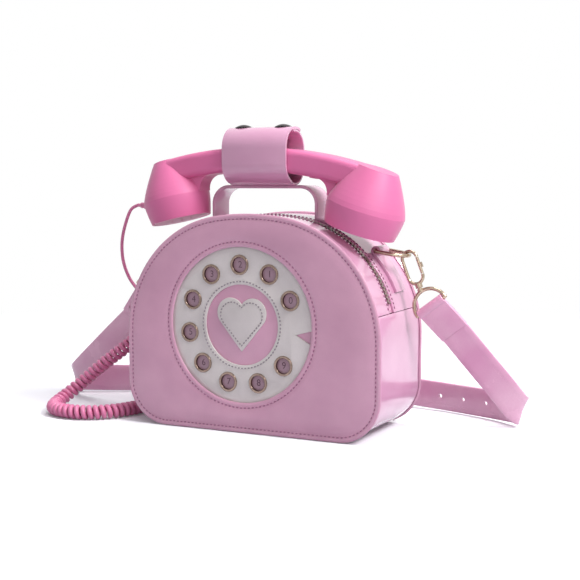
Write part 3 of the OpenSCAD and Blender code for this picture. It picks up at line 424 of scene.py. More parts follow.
def sweep(name, stations):
    """A skin over one ring of points a station, with its ends closed, and a UV map: U along in metres, V round."""
    mesh = bmesh.new()
    uv = mesh.loops.layers.uv.new("run")
    rows = [[mesh.verts.new(q) for q in ring] for ring in stations]
    n = len(rows[0])
    run = [0.0]
    middles = [sum((Vector(q) for q in ring), Vector()) / n for ring in stations]
    for a, b in zip(middles, middles[1:]):
        run.append(run[-1] + (b - a).length)
    for i in range(len(rows) - 1):
        for k in range(n):
            m = (k + 1) % n
            face = mesh.faces.new((rows[i][k], rows[i + 1][k], rows[i + 1][m], rows[i][m]))
            near, far, low, high = run[i], run[i + 1], k / n, (k + 1) / n
            for loop, place in zip(face.loops, ((near, low), (far, low), (far, high), (near, high))):
                loop[uv].uv = place
    mesh.faces.new(rows[0])
    mesh.faces.new(rows[-1][::-1])
    bmesh.ops.recalc_face_normals(mesh, faces=mesh.faces)
    data = bpy.data.meshes.new(name)
    mesh.to_mesh(data)
    mesh.free()
    obj = bpy.data.objects.new(name, data)
    bpy.context.scene.collection.objects.link(obj)
    return obj


LEAD = [(-119.5, -8, 175.6), (-121.6, -8, 175.5), (-124, -8, 175.4), (-131, -8, 171), (-138, -7, 156),
        (-142, -5, 142), (-142, -3, 127), (-138, 0, 113), (-130, 2, 102), (-123, 3, 94), (-121, 3, 90), (-121, 3, 86)]
CURL_ROUTE = [(-121, 3, 86), (-121.5, 3, 79), (-125.5, 2.5, 70), (-133, 1, 62), (-143, -1.5, 53), (-156, -5, 43),
              (-169, -9, 32), (-180, -15, 21), (-188, -25, 12), (-189, -38, 7.2), (-182, -50, 6.2), (-168, -57, 6.2),
              (-151, -57, 6.2), (-136, -49.5, 6.2), (-126, -37, 6.2), (-120, -20, 6.2), (-118.5, 0, 6.2),
              (-118.5, 28, 6.2), (-116, 48, 6.2), (-107, 64, 6.2), (-90, 76, 6.2), (-68, 81, 6.2), (-40, 82, 6.2),
              (-32, 82, 6.2)]
TAIL = [(-32, 82, 6.2), (-26, 82, 6.2), (-12, 80, 4), (1, 73, 2), (13, 64, 1.9), (24, 57.4, 2.7), (34, 54.5, 4.2),
        (42, 54, 4.6), (50, 54, 4.6)]


def cord_line(turn_points):
    """The middle of the whole cord, in metres: lead, curls and tail, and where the curls start and end."""
    frames = carried(along(CURL_ROUTE, 10))
    dist = [0.0]
    for a, b in zip(frames, frames[1:]):
        dist.append(dist[-1] + (b[0] - a[0]).length)
    straight = 2 * CORD_D
    helix = dist[-1] - 2 * straight
    radius = (CURL_D - CURL_WIRE) / 2

    def route_at(s):
        i = max(0, min(len(dist) - 2, next((k - 1 for k, d in enumerate(dist) if d > s), len(dist) - 2)))
        t = (s - dist[i]) / max(dist[i + 1] - dist[i], 0.001)
        a, b = frames[i], frames[i + 1]
        return a[0].lerp(b[0], t), a[1].lerp(b[1], t).normalized(), a[2].lerp(b[2], t).normalized()

    coil = []
    for i in range(CURLS * turn_points + 1):
        u = i / turn_points
        q, d, side = route_at(straight + helix * u / CURLS)
        e = min(u, CURLS - u)
        swell = 1 if e >= 1 else 0.5 - 0.5 * math.cos(math.pi * max(e, 0))
        a = 2 * math.pi * u
        coil.append(q + radius * swell * (math.cos(a) * side + math.sin(a) * d.cross(side)))
    lead = along(LEAD, 6)[:-1] + [frames[0][0], frames[0][0] + CORD_D * frames[0][1]]
    tail = [frames[-1][0] - CORD_D * frames[-1][1]] + along(TAIL, 5)
    return [p * MM for p in lead + coil + tail], len(lead), len(lead) + len(coil)


LONG_ROUTE = [
    ((143.05, 25.83, 79.65), (0.7986, 0, 0.6018)), ((143.87, 26.47, 78.56), (0.7986, 0, 0.6018)),
    ((144.69, 27.1, 77.47), (0.7986, 0, 0.6018)),
    ((158, 41, 56), (0.74, 0.02, 0.66)), ((172, 53, 35), (0.6, 0, 0.8)), ((182, 61, 19.5), (0.4, 0, 0.92)),
    ((185.5, 66.5, 14.8), (0.32, 0, 0.95)), ((183, 72, 14.2), (0.2, 0, 1)), ((174, 78.5, 13.8), (0.1, 0, 1)),
    ((150, 92, 12.9), (0, 0, 1)), ((110, 106, 13), (0, 0, 1)), ((70, 111.6, 14.6), (0, 0, 1)),
    ((36, 112.8, 16.6), (0, 0, 1)), ((24, 112.6, 16.6), (0, 0, 1)), ((15, 112.5, 16.6), (0, 0, 1)),
    ((9.5, 112.7, 16.6), (0, 0, 1)), ((5, 114.8, 16.6), (0, 0, 1)), ((-1.5, 120, 16.6), (0, 0, 1)),
    ((-6, 122, 16.6), (0, 0, 1)), ((-12, 122.4, 16.6), (0, 0, 1)), ((-30, 122.4, 16.6), (0, 0, 1)),
    ((-60, 123.4, 15.6), (0, 0, 1))]
SHORT_ROUTE = [
    ((-144.59, 15.95, 77.6), (-0.7986, 0, 0.6018)), ((-145.49, 16.06, 76.4), (-0.7986, 0, 0.6018)),
    ((-146.39, 16.16, 75.21), (-0.7986, 0, 0.6018)),
    ((-164, 19, 61), (-0.74, 0.02, 0.66)), ((-191, 26, 40), (-0.62, 0, 0.78)), ((-215, 34, 22), (-0.45, 0, 0.9)),
    ((-225, 40, 15.2), (-0.32, 0, 0.95)), ((-225, 46.5, 14.3), (-0.2, 0, 1)), ((-214, 53, 13.8), (-0.1, 0, 1)),
    ((-170, 77, 12.9), (0, 0, 1)), ((-120, 102, 13), (0, 0, 1)), ((-80, 114, 14.6), (0, 0, 1)),
    ((-50, 116, 16.6), (0, 0, 1)), ((-45, 116, 16.6), (0, 0, 1)),
    ((-40, 116, 16.6), (0, 0, 1))]
HOLES = ((150, 92, 12.9), (128, 100.7, 12.9), (106, 107, 13.2))


# ---- Materials ----
def grain(tree, place, waves, wave_depth, fine, fine_depth):
    """Two scales of relief: slow waves of the coated skin, and its fine pores. Distances are in metres."""
    slow = add(tree, "ShaderNodeTexNoise", {}, {"Scale": 1 / waves, "Detail": 1.5, "Roughness": 0.4}, {"Vector": place})
    pores = add(tree, "ShaderNodeTexVoronoi", {}, {"Scale": 1 / fine}, {"Vector": place})
    first = add(tree, "ShaderNodeBump", {}, {"Strength": 1.0, "Distance": wave_depth}, {"Height": slow.outputs["Fac"]})
    return add(tree, "ShaderNodeBump", {}, {"Strength": 0.35, "Distance": fine_depth},
               {"Height": pores.outputs["Distance"], "Normal": first.outputs["Normal"]})


def patent_leather(name, tone, deep, roughness=0.2, coat=0.65):
    """Patent leather: split hide under a thick clear lacquer. The lacquer gives broad, slightly wavy reflections."""
    material, tree = finish(name)
    place = add(tree, "ShaderNodeTexCoord").outputs["Object"]
    # The dye takes unevenly over some 45 mm, and a fine fleck of 1.2 mm shows under the lacquer
    cloud = add(tree, "ShaderNodeTexNoise", {}, {"Scale": 1 / 0.045, "Detail": 3}, {"Vector": place})
    fleck = add(tree, "ShaderNodeTexNoise", {}, {"Scale": 1 / 0.0012, "Detail": 1}, {"Vector": place})
    soft = add(tree, "ShaderNodeMapRange", {}, {"From Min": 0.3, "From Max": 0.7, "To Min": 0.0, "To Max": 0.8},
               {"Value": cloud.outputs["Fac"]})
    dye = add(tree, "ShaderNodeMix", {"data_type": "RGBA"}, {6: paint(tone), 7: paint(deep)},
              {0: soft.outputs["Result"]})
    tint = add(tree, "ShaderNodeMapRange", {}, {"From Min": 0.35, "From Max": 0.65, "To Min": 0.0, "To Max": 0.12},
               {"Value": fleck.outputs["Fac"]})
    skin = add(tree, "ShaderNodeMix", {"data_type": "RGBA"}, {7: paint(deep)},
               {0: tint.outputs["Result"], 6: dye.outputs[2]})
    relief = grain(tree, place, 0.030, 0.00035, 0.0011, 0.00003)
    # Handling dulls the lacquer in patches of some 20 mm
    rub = add(tree, "ShaderNodeTexNoise", {}, {"Scale": 1 / 0.020, "Detail": 4}, {"Vector": place})
    dull = add(tree, "ShaderNodeMapRange", {}, {"To Min": roughness * 0.8, "To Max": roughness * 1.35},
               {"Value": rub.outputs["Fac"]})
    shader = add(tree, "ShaderNodeBsdfPrincipled", {}, {"IOR": 1.5, "Coat Weight": coat, "Coat Roughness": 0.06,
                 "Subsurface Weight": 0.0}, {"Base Color": skin.outputs[2], "Roughness": dull.outputs["Result"],
                 "Normal": relief.outputs["Normal"]})
    add(tree, "ShaderNodeOutputMaterial", {}, {}, {"Surface": shader.outputs["BSDF"]})
    return material


def strap_leather(name, tone, deep):
    """The strap's leather: the same lacquer, with a topstitch line pressed in 2 mm from each edge."""
    material = patent_leather(name, tone, deep, 0.24, 0.5)
    tree = material.node_tree
    shader = next(n for n in tree.nodes if n.type == "BSDF_PRINCIPLED")
    old = shader.inputs["Normal"].links[0].from_socket
    run = add(tree, "ShaderNodeUVMap", {"uv_map": "run"}).outputs["UV"]
    parts = add(tree, "ShaderNodeSeparateXYZ", {}, {}, {"Vector": run})
    edge = add(tree, "ShaderNodeMath", {"operation": "PINGPONG"}, {1: 0.25}, {0: parts.outputs["Y"]})
    near = add(tree, "ShaderNodeMath", {"operation": "COMPARE"}, {1: 0.055, 2: 0.012}, {0: edge.outputs[0]})
    # Stitches 3.2 mm apart
    beat = add(tree, "ShaderNodeMath", {"operation": "MULTIPLY"}, {1: 1 / 0.0032}, {0: parts.outputs["X"]})
    share = add(tree, "ShaderNodeMath", {"operation": "FRACT"}, {}, {0: beat.outputs[0]})
    on = add(tree, "ShaderNodeMath", {"operation": "LESS_THAN"}, {1: 0.66}, {0: share.outputs[0]})
    mark = add(tree, "ShaderNodeMath", {"operation": "MULTIPLY"}, {}, {0: near.outputs[0], 1: on.outputs[0]})
    groove = add(tree, "ShaderNodeBump", {"invert": True}, {"Strength": 0.8, "Distance": 0.0004},
                 {"Height": mark.outputs[0], "Normal": old})
    tree.links.new(groove.outputs["Normal"], shader.inputs["Normal"])
    return material


def soft_touch(name, tone, deep, roughness=0.46):
    """Moulded ABS with a soft-touch lacquer: nearly matte, with a faint bloom at grazing angles."""
    material, tree = finish(name)
    place = add(tree, "ShaderNodeTexCoord").outputs["Object"]
    cloud = add(tree, "ShaderNodeTexNoise", {}, {"Scale": 1 / 0.05, "Detail": 2}, {"Vector": place})
    colour = add(tree, "ShaderNodeMix", {"data_type": "RGBA"}, {6: paint(tone), 7: paint(deep)},
                 {0: cloud.outputs["Fac"]})
    # Spark-eroded mould texture of 0.5 mm, drawn a little coarse so that it shows
    tooth = add(tree, "ShaderNodeTexNoise", {}, {"Scale": 1 / 0.0005, "Detail": 2}, {"Vector": place})
    relief = add(tree, "ShaderNodeBump", {}, {"Strength": 0.25, "Distance": 0.00004}, {"Height": tooth.outputs["Fac"]})
    shine = add(tree, "ShaderNodeMapRange", {}, {"To Min": roughness - 0.05, "To Max": roughness + 0.08},
                {"Value": cloud.outputs["Fac"]})
    shader = add(tree, "ShaderNodeBsdfPrincipled", {}, {"IOR": 1.5, "Sheen Weight": 0.3, "Sheen Roughness": 0.3},
                 {"Base Color": colour.outputs[2], "Roughness": shine.outputs["Result"],
                  "Normal": relief.outputs["Normal"]})
    add(tree, "ShaderNodeOutputMaterial", {}, {}, {"Surface": shader.outputs["BSDF"]})
    return material


def plated(name, bright, worn, roughness):
    """Plated zinc die casting, tumbled and polished: a bright metal with fine handling scratches."""
    material, tree = finish(name)
    place = add(tree, "ShaderNodeTexCoord").outputs["Object"]
    patch = add(tree, "ShaderNodeTexNoise", {}, {"Scale": 1 / 0.006, "Detail": 4}, {"Vector": place})
    colour = add(tree, "ShaderNodeMix", {"data_type": "RGBA"}, {6: paint(bright), 7: paint(worn)},
                 {0: patch.outputs["Fac"]})
    scratch = add(tree, "ShaderNodeTexNoise", {}, {"Scale": 1 / 0.0008, "Detail": 5, "Distortion": 1.5},
                  {"Vector": place})
    relief = add(tree, "ShaderNodeBump", {}, {"Strength": 0.2, "Distance": 0.00003}, {"Height": scratch.outputs["Fac"]})
    dull = add(tree, "ShaderNodeMapRange", {}, {"To Min": roughness * 0.7, "To Max": roughness * 1.6},
               {"Value": patch.outputs["Fac"]})
    shader = add(tree, "ShaderNodeBsdfPrincipled", {}, {"Metallic": 1.0},
                 {"Base Color": colour.outputs[2], "Roughness": dull.outputs["Result"],
                  "Normal": relief.outputs["Normal"]})
    add(tree, "ShaderNodeOutputMaterial", {}, {}, {"Surface": shader.outputs["BSDF"]})
    return material


def twisted_thread(name, tone, deep):
    """Bonded polyester thread: the plies show as fine slanting bands 0.5 mm apart."""
    material, tree = finish(name)
    place = add(tree, "ShaderNodeTexCoord").outputs["Object"]
    ply = add(tree, "ShaderNodeTexWave", {"bands_direction": "DIAGONAL"}, {"Scale": 0.314 / 0.0005, "Distortion": 0.5},
              {"Vector": place})
    colour = add(tree, "ShaderNodeMix", {"data_type": "RGBA"}, {6: paint(deep), 7: paint(tone)},
                 {0: ply.outputs["Fac"]})
    relief = add(tree, "ShaderNodeBump", {}, {"Strength": 0.6, "Distance": 0.0001}, {"Height": ply.outputs["Fac"]})
    shader = add(tree, "ShaderNodeBsdfPrincipled", {}, {"Roughness": 0.6, "Sheen Weight": 0.3},
                 {"Base Color": colour.outputs[2], "Normal": relief.outputs["Normal"]})
    add(tree, "ShaderNodeOutputMaterial", {}, {}, {"Surface": shader.outputs["BSDF"]})
    return material


def woven_tape(name, tone, deep):
    """Zip tape: polyester herringbone, its threads 0.6 mm apart, drawn at 0.9 mm so that they show."""
    material, tree = finish(name)
    place = add(tree, "ShaderNodeTexCoord").outputs["Object"]
    warp = add(tree, "ShaderNodeTexWave", {"bands_direction": "Y"}, {"Scale": 0.314 / 0.0009}, {"Vector": place})
    weft = add(tree, "ShaderNodeTexWave", {"bands_direction": "X"}, {"Scale": 0.314 / 0.0009}, {"Vector": place})
    weave = add(tree, "ShaderNodeMath", {"operation": "MULTIPLY"}, {}, {0: warp.outputs["Fac"], 1: weft.outputs["Fac"]})
    colour = add(tree, "ShaderNodeMix", {"data_type": "RGBA"}, {6: paint(deep), 7: paint(tone)}, {0: weave.outputs[0]})
    relief = add(tree, "ShaderNodeBump", {}, {"Strength": 0.7, "Distance": 0.0002}, {"Height": weave.outputs[0]})
    shader = add(tree, "ShaderNodeBsdfPrincipled", {}, {"Roughness": 0.8, "Sheen Weight": 0.4},
                 {"Base Color": colour.outputs[2], "Normal": relief.outputs["Normal"]})
    add(tree, "ShaderNodeOutputMaterial", {}, {}, {"Surface": shader.outputs["BSDF"]})
    return material


_made = {}


def stuff(key):
    """A finish of the bag, made once. The colours come from the settings."""
    look = bpy.context.scene.telephone_bag

    def shade(name):
        return "#%02X%02X%02X" % tuple(
            round(255 * (12.92 * c if c <= 0.0031308 else 1.055 * c ** (1 / 2.4) - 0.055)) for c in getattr(look, name)
        )

    makers = {
        "panel": lambda: patent_leather("patent_leather_panel", shade("panel_tone"), "#C88FAB"),
        "gusset": lambda: patent_leather("patent_leather_gusset", shade("gusset_tone"), "#CE93B3"),
        "white": lambda: patent_leather("patent_leather_white", shade("dial_tone"), "#C9C2BF", 0.3, 0.35),
        "strap": lambda: strap_leather("strap_leather", shade("strap_tone"), "#DB8FB8"),
        "strap_ends": lambda: patent_leather("patent_leather_strap_ends", shade("strap_tone"), "#DB8FB8", 0.24, 0.5),
        "shell": lambda: soft_touch("soft_touch_abs", shade("handset_tone"), "#D66898"),
        "cord": lambda: soft_touch("cord_pvc", "#E286AE", "#D4719C", 0.32),
        "gold": lambda: plated("pale_gold_plate", "#CDBCA8", "#96816E", 0.16),
        "gunmetal": lambda: plated("gunmetal_plate", "#4B4144", "#2E282A", 0.22),
        "eyelet": lambda: plated("antique_bronze_plate", "#A08C7E", "#6A5852", 0.16),
        "zip": lambda: plated("zip_metal", "#B9AEA6", "#8A7E78", 0.25),
        "pink_thread": lambda: twisted_thread("pink_thread", "#A96A8C", "#854A6A"),
        "white_thread": lambda: twisted_thread("white_thread", "#A39A9E", "#7C7378"),
        "tape": lambda: woven_tape("zip_tape_weave", "#E6B0CB", "#C88AA8"),
        "speaker": lambda: soft_touch("black_abs", "#1B1A1C", "#101012", 0.6),
        "digit_disc": lambda: soft_touch("digit_disc", "#B493A0", "#A28090", 0.3),
        "digit_ink": lambda: soft_touch("digit_ink", "#5B3A4A", "#4A2C3A", 0.5),
    }
    if key not in _made:
        _made[key] = makers[key]()
    return _made[key]


# ---- Settings ----
class TelephoneBagLook(bpy.types.PropertyGroup):
    """Colours and sizes of the bag's finish."""

    panel_tone: FloatVectorProperty(name="Panel", description="Colour of the front and back panels", subtype="COLOR",
                                    size=3, min=0, max=1, default=paint("#DDA4BE")[:3])
    gusset_tone: FloatVectorProperty(name="Gusset", description="Colour of the gusset, handle and cuff",
                                     subtype="COLOR", size=3, min=0, max=1, default=paint("#DAA6C2")[:3])
    dial_tone: FloatVectorProperty(name="Dial", description="Colour of the dial ring and the heart", subtype="COLOR",
                                   size=3, min=0, max=1, default=paint("#E4DEDA")[:3])
    strap_tone: FloatVectorProperty(name="Strap", description="Colour of the shoulder strap", subtype="COLOR",
                                    size=3, min=0, max=1, default=paint("#EEBBD3")[:3])
    handset_tone: FloatVectorProperty(name="Handset", description="Colour of the handset's plastic", subtype="COLOR",
                                      size=3, min=0, max=1, default=paint("#DF7AAA")[:3])
    stitch_pitch: FloatProperty(name="Stitch pitch", description="Distance from one stitch to the next",
                                subtype="DISTANCE", unit="LENGTH", default=0.0034, min=0.002, max=0.006)
    thread_width: FloatProperty(name="Thread width", description="Thickness of the sewing thread", subtype="DISTANCE",
                                unit="LENGTH", default=0.0011, min=0.0004, max=0.0015)
    panel_crown: FloatProperty(name="Panel crown", description="How far the padded panels swell between their seams",
                               subtype="DISTANCE", unit="LENGTH", default=0.0007, min=0, max=0.003)
    floor_size: FloatProperty(name="Floor size", description="Side of the floor", subtype="DISTANCE", unit="LENGTH",
                              default=12.0, min=2, max=40)
    turn_points: IntProperty(name="Curl points", description="Points of the cord's line in each curl", default=14,
                             min=12, max=32)


# ---- Operators ----
class TELBAG_OT_stage(bpy.types.Operator):
    """Adds the camera, the floor, the soft lights and the world"""

    bl_idname = "telbag.stage"
    bl_label = "Stage"

    def execute(self, context):
        scene = context.scene
        scene.view_settings.view_transform = "Standard"
        camera = bpy.data.objects.new("camera", bpy.data.cameras.new("camera"))
        scene.collection.objects.link(camera)
        camera.data.sensor_width = 36
        camera.data.lens = 71.54
        camera.data.clip_start = 0.01
        camera.location = (0.4131, -0.8245, 0.1945)
        look = Vector((0.0143, 0, 0.1091)) - camera.location
        camera.rotation_euler = look.to_track_quat("-Z", "Y").to_euler()
        scene.camera = camera
        fresh()
        bpy.ops.mesh.primitive_plane_add(size=scene.telephone_bag.floor_size, location=(0, 0, -0.0002))
        floor = context.object
        floor.name = "floor"
        material, tree = finish("paper_sweep")
        path = add(tree, "ShaderNodeLightPath")
        place = add(tree, "ShaderNodeTexCoord").outputs["Object"]
        fibre = add(tree, "ShaderNodeTexNoise", {}, {"Scale": 400, "Detail": 2}, {"Vector": place})
        tone = add(tree, "ShaderNodeMix", {"data_type": "RGBA"}, {6: paint("#F4F5FA"), 7: paint("#F9FAFD")},
                   {0: fibre.outputs["Fac"]})
        matte = add(tree, "ShaderNodeBsdfDiffuse", {}, {"Roughness": 0.5}, {"Color": tone.outputs[2]})
        glow = add(tree, "ShaderNodeEmission", {}, {"Strength": 0.05})
        near = add(tree, "ShaderNodeAddShader", {}, {}, {0: matte.outputs["BSDF"], 1: glow.outputs["Emission"]})
        # The sweep runs out to plain white from half a metre off
        reach = add(tree, "ShaderNodeVectorMath", {"operation": "LENGTH"}, {}, {0: place})
        fade = add(tree, "ShaderNodeMapRange", {}, {"From Min": 0.35, "From Max": 0.9},
                   {"Value": reach.outputs["Value"]})
        plain = add(tree, "ShaderNodeEmission", {}, {"Strength": 1.0})
        lit = add(tree, "ShaderNodeMixShader", {}, {},
                  {0: fade.outputs["Result"], 1: near.outputs[0], 2: plain.outputs[0]})
        seen = add(tree, "ShaderNodeMath", {"operation": "MAXIMUM"}, {},
                   {0: path.outputs["Is Camera Ray"], 1: path.outputs["Is Glossy Ray"]})
        # What the floor throws back on the bag is duller than what is seen of it, so undersides stay in shade
        back = add(tree, "ShaderNodeBsdfDiffuse", {}, {"Color": paint("#B4B2BC")})
        both = add(tree, "ShaderNodeMixShader", {}, {},
                   {0: seen.outputs[0], 1: back.outputs["BSDF"], 2: lit.outputs[0]})
        add(tree, "ShaderNodeOutputMaterial", {}, {}, {"Surface": both.outputs[0]})
        floor.data.materials.append(material)
        for name, place, size, power, colour in (
            ("key", (1.6, -0.3, 1.6), 0.8, 40, "#FFFFFF"),
            ("front", (1.3, -1.4, 1.2), 1.0, 9, "#FFFAFC"),
            ("top", (0.3, 0.3, 2.2), 1.0, 26, "#FFFFFF"),
            ("left", (-2.0, -0.2, 1.0), 1.0, 0.6, "#F2F0FF"),
        ):
            lamp = bpy.data.objects.new(name, bpy.data.lights.new(name, "AREA"))
            scene.collection.objects.link(lamp)
            lamp.data.shape = "DISK"
            lamp.data.size = size
            lamp.data.energy = power
            lamp.data.color = paint(colour)[:3]
            lamp.location = place
            lamp.rotation_euler = (Vector((0, 0, 0.1)) - lamp.location).to_track_quat("-Z", "Y").to_euler()
        world = bpy.data.worlds.new("studio")
        scene.world = world
        world.use_nodes = True
        tree = world.node_tree
        tree.nodes.clear()
        path = add(tree, "ShaderNodeLightPath")
        direct = add(tree, "ShaderNodeMath", {"operation": "MAXIMUM"}, {},
                     {0: path.outputs["Is Camera Ray"], 1: path.outputs["Is Transmission Ray"]})
        seen = add(tree, "ShaderNodeMath", {"operation": "MAXIMUM"}, {},
                   {0: direct.outputs[0], 1: path.outputs["Is Glossy Ray"]})
        room = add(tree, "ShaderNodeBackground", {}, {"Color": paint("#F4F2F8"), "Strength": 0.34})
        white = add(tree, "ShaderNodeBackground", {}, {"Color": paint("#FFFFFF"), "Strength": 1.0})
        both = add(tree, "ShaderNodeMixShader", {}, {}, {0: seen.outputs[0], 1: room.outputs[0], 2: white.outputs[0]})
        add(tree, "ShaderNodeOutputWorld", {}, {}, {"Surface": both.outputs[0]})
        return {"FINISHED"}


class TELBAG_OT_cord(bpy.types.Operator):
    """Adds the curly cord with its lead and tail, its strain relief and its plug"""

    bl_idname = "telbag.cord"
    bl_label = "Cord"

    def execute(self, context):
        line, first, last = cord_line(context.scene.telephone_bag.turn_points)
        stations = []
        for i, (q, d, side) in enumerate(carried(line)):
            up = d.cross(side)
            # The curled part is drawn with thicker wire than the lead and the tail
            full = max(0.0, min(1.0, (i - first) / 16, (last - i) / 16))
            r = (CORD_D + (CURL_WIRE - CORD_D) * full) / 2 * MM
            stations.append([q + r * (math.cos(a) * side + math.sin(a) * up)
                             for a in (math.pi * k / 4 for k in range(8))])
        cord = sweep("cord", stations)
        smooth(cord, 60)
        cord.data.materials.append(stuff("cord"))
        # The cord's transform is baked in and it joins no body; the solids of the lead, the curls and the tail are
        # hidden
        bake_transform(cord)
        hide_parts("cord_lead", "cord_curls", "cord_tail")
        relief = leather_copy("strain_relief", "cord_sleeve", 0.4, 2)
        dress(relief, stuff("cord"), "handset", ("strain_relief",))
        plug = leather_copy("plug_body", "plug_grip", 0.9, 3)
        dress(plug, stuff("cord"), "bag", ("plug_body",))
        return {"FINISHED"}


class TELBAG_OT_panels(bpy.types.Operator):
    """Adds the padded front panel with its round opening, and the back panel"""

    bl_idname = "telbag.panels"
    bl_label = "Panels"

    def execute(self, context):
        crown = context.scene.telephone_bag.panel_crown / MM
        # Depth of the skin across the panel: rolled edge, stitched valley, then the padded swell
        profile = [(0.25, 0.75), (0.8, 0.2), (2.2, 0.0), (3.5, 0.1), (4.2, 0.4), (4.9, 0.15), (7.5, -0.25),
                   (13, -crown)]
        outer = [(*bag_moves(inset), FRONT_Y + y) for inset, y in profile]
        inner = [(*circle_moves(DIAL_X, DIAL_Z, OPEN_R + inset), FRONT_Y + y) for inset, y in reversed(profile[:-1])]
        padded(rings("front_skin", outer + inner), "front_panel")
        outer = [(*bag_moves(inset), REAR_Y - y) for inset, y in profile]
        back = rings("back_skin", outer)
        edit(back, "EDGE")
        mesh = bmesh.from_edit_mesh(back.data)
        rim = [e for e in mesh.edges if e.is_boundary and all(v.co.y / MM > REAR_Y + crown - 0.1 for v in e.verts)]
        bmesh.ops.contextual_create(mesh, geom=rim)
        bmesh.update_edit_mesh(back.data)
        bpy.ops.object.mode_set(mode="OBJECT")
        padded(back, "back_panel")
        return {"FINISHED"}


class TELBAG_OT_gusset(bpy.types.Operator):
    """Adds the gusset round the sides, the strips beside the zip, and the base layer"""

    bl_idname = "telbag.gusset"
    bl_label = "Gusset and zip strips"

    def execute(self, context):
        depth = IN_REAR_Y - IN_FRONT_Y

        def held(co):
            t = (co.y / MM - IN_FRONT_Y) / depth
            return max(0.0, min(1.0, 6 * t * (1 - t)))

        band = wall("gusset_skin", bag_moves(SEAM_LIP), IN_FRONT_Y, IN_REAR_Y, 22)
        cut_at(band, ZIP_SEAM_Z, False)
        ripple(band, 1.0, 55, 3.1, held)
        modifier(band, "SOLIDIFY", thickness=WALL_T * MM, offset=-1)
        bevel(band, 0.5, 2)
        smooth(band, 40)
        dress(band, stuff("gusset"), "bag", ("gusset_band",))
        for name, y0, y1, node in (("zip_skin_front", IN_FRONT_Y, ZIP_Y - ZIP_GAP / 2, "zip_strip_front"),
                                   ("zip_skin_rear", ZIP_Y + ZIP_GAP / 2, IN_REAR_Y, "zip_strip_rear")):
            strip = wall(name, bag_moves(SEAM_LIP + 0.1), y0, y1, 10)
            cut_at(strip, ZIP_SEAM_Z + 0.3, True)
            modifier(strip, "SOLIDIFY", thickness=(WALL_T - 0.2) * MM, offset=-1)
            bevel(strip, 0.5, 3)
            smooth(strip, 40)
            dress(strip, stuff("gusset"), "bag", (node,))
        for side in ("front", "rear"):
            tape = leather_copy("zip_tape_" + side, "tape_" + side, 0.2, 1)
            dress(tape, stuff("tape"), "bag", ("zip_tape_" + side,))
        base = leather_copy("base_board", "base_layer", 0.4, 2)
        dress(base, stuff("panel"), "bag", ("base_board",))
        return {"FINISHED"}


class TELBAG_OT_dial(bpy.types.Operator):
    """Adds the dial's ring, its backing, the heart and the ten numbers"""

    bl_idname = "telbag.dial"
    bl_label = "Dial"

    def execute(self, context):
        backing = leather_copy("dial_backing", "dial_ground", 0.3, 2)
        dress(backing, stuff("panel"), "bag", ("dial_backing",))
        ring = leather_copy("dial_ring", "dial_face", 0.45, 3)
        dress(ring, stuff("white"), "bag", ("dial_ring",))
        heart = leather_copy("heart_patch", "heart", 0.6, 4)
        dress(heart, stuff("white"), "bag", ("heart_patch",))
        # Numbers 0 to 9, anticlockwise from the hole beside the notch
        for number in range(10):
            a = math.radians(FIRST_A + number * STEP_A)
            x, z = DIAL_X + FINGER_R * math.cos(a), DIAL_Z + FINGER_R * math.sin(a)
            fresh()
            bpy.ops.mesh.primitive_cylinder_add(vertices=40, radius=DISC_R * MM, depth=DISC_T * MM,
                                                location=(x * MM, DISC_Y * MM, z * MM), rotation=(math.pi / 2, 0, 0))
            disc = context.object
            disc.name = "number_disc_%d" % number
            bpy.ops.object.transform_apply(location=True, rotation=True, scale=True)
            bevel(disc, 0.12, 2)
            smooth(disc)
            dress(disc, stuff("digit_disc"), "bag")
            fresh()
            bpy.ops.object.text_add(location=(x * MM, DIGIT_Y * MM, z * MM), rotation=(math.pi / 2, 0, 0))
            text = context.object
            text.data.body = str(number)
            text.data.size = DIGIT_H * MM
            text.data.align_x = "CENTER"
            text.data.align_y = "CENTER"
            text.data.extrude = DIGIT_T * MM
            bpy.ops.object.convert(target="MESH")
            text = context.object
            text.name = "number_%d" % number
            bpy.ops.object.transform_apply(location=True, rotation=True, scale=True)
            dress(text, stuff("digit_ink"), "bag")
        return {"FINISHED"}


class TELBAG_OT_handle(bpy.types.Operator):
    """Adds the leather of the handle, the cuff, the ring tabs and the strap's end pieces"""

    bl_idname = "telbag.handle"
    bl_label = "Handle, cuff and tabs"

    def execute(self, context):
        for node, name, body, key, slot, width in (
            ("top_handle", "handle_leather", "bag", "gusset", "patent_gusset", 0.6),
            ("cuff_back", "cuff_lining_side", "bag", "gusset", "patent_gusset", 0.5),
            ("cuff_flap", "cuff_leather", "cuff_flap", "gusset", "patent_gusset", 0.5),
            ("ring_tab_left", "tab_leather_left", "bag", "gusset", "patent_gusset", 0.5),
            ("ring_tab_right", "tab_leather_right", "bag", "gusset", "patent_gusset", 0.5),
            ("strap_end_left", "end_leather_left", "bag", "strap_ends", "patent", 0.6),
            ("strap_end_right", "end_leather_right", "bag", "strap_ends", "patent", 0.6),
            ("buckle_chape", "chape_leather", "bag", "strap_ends", "patent", 0.5),
            ("strap_keeper", "keeper_leather", "bag", "strap_ends", "patent", 0.4),
        ):
            piece = leather_copy(node, name, width, 3)
            dress(piece, stuff(key), body, (node,))
        return {"FINISHED"}


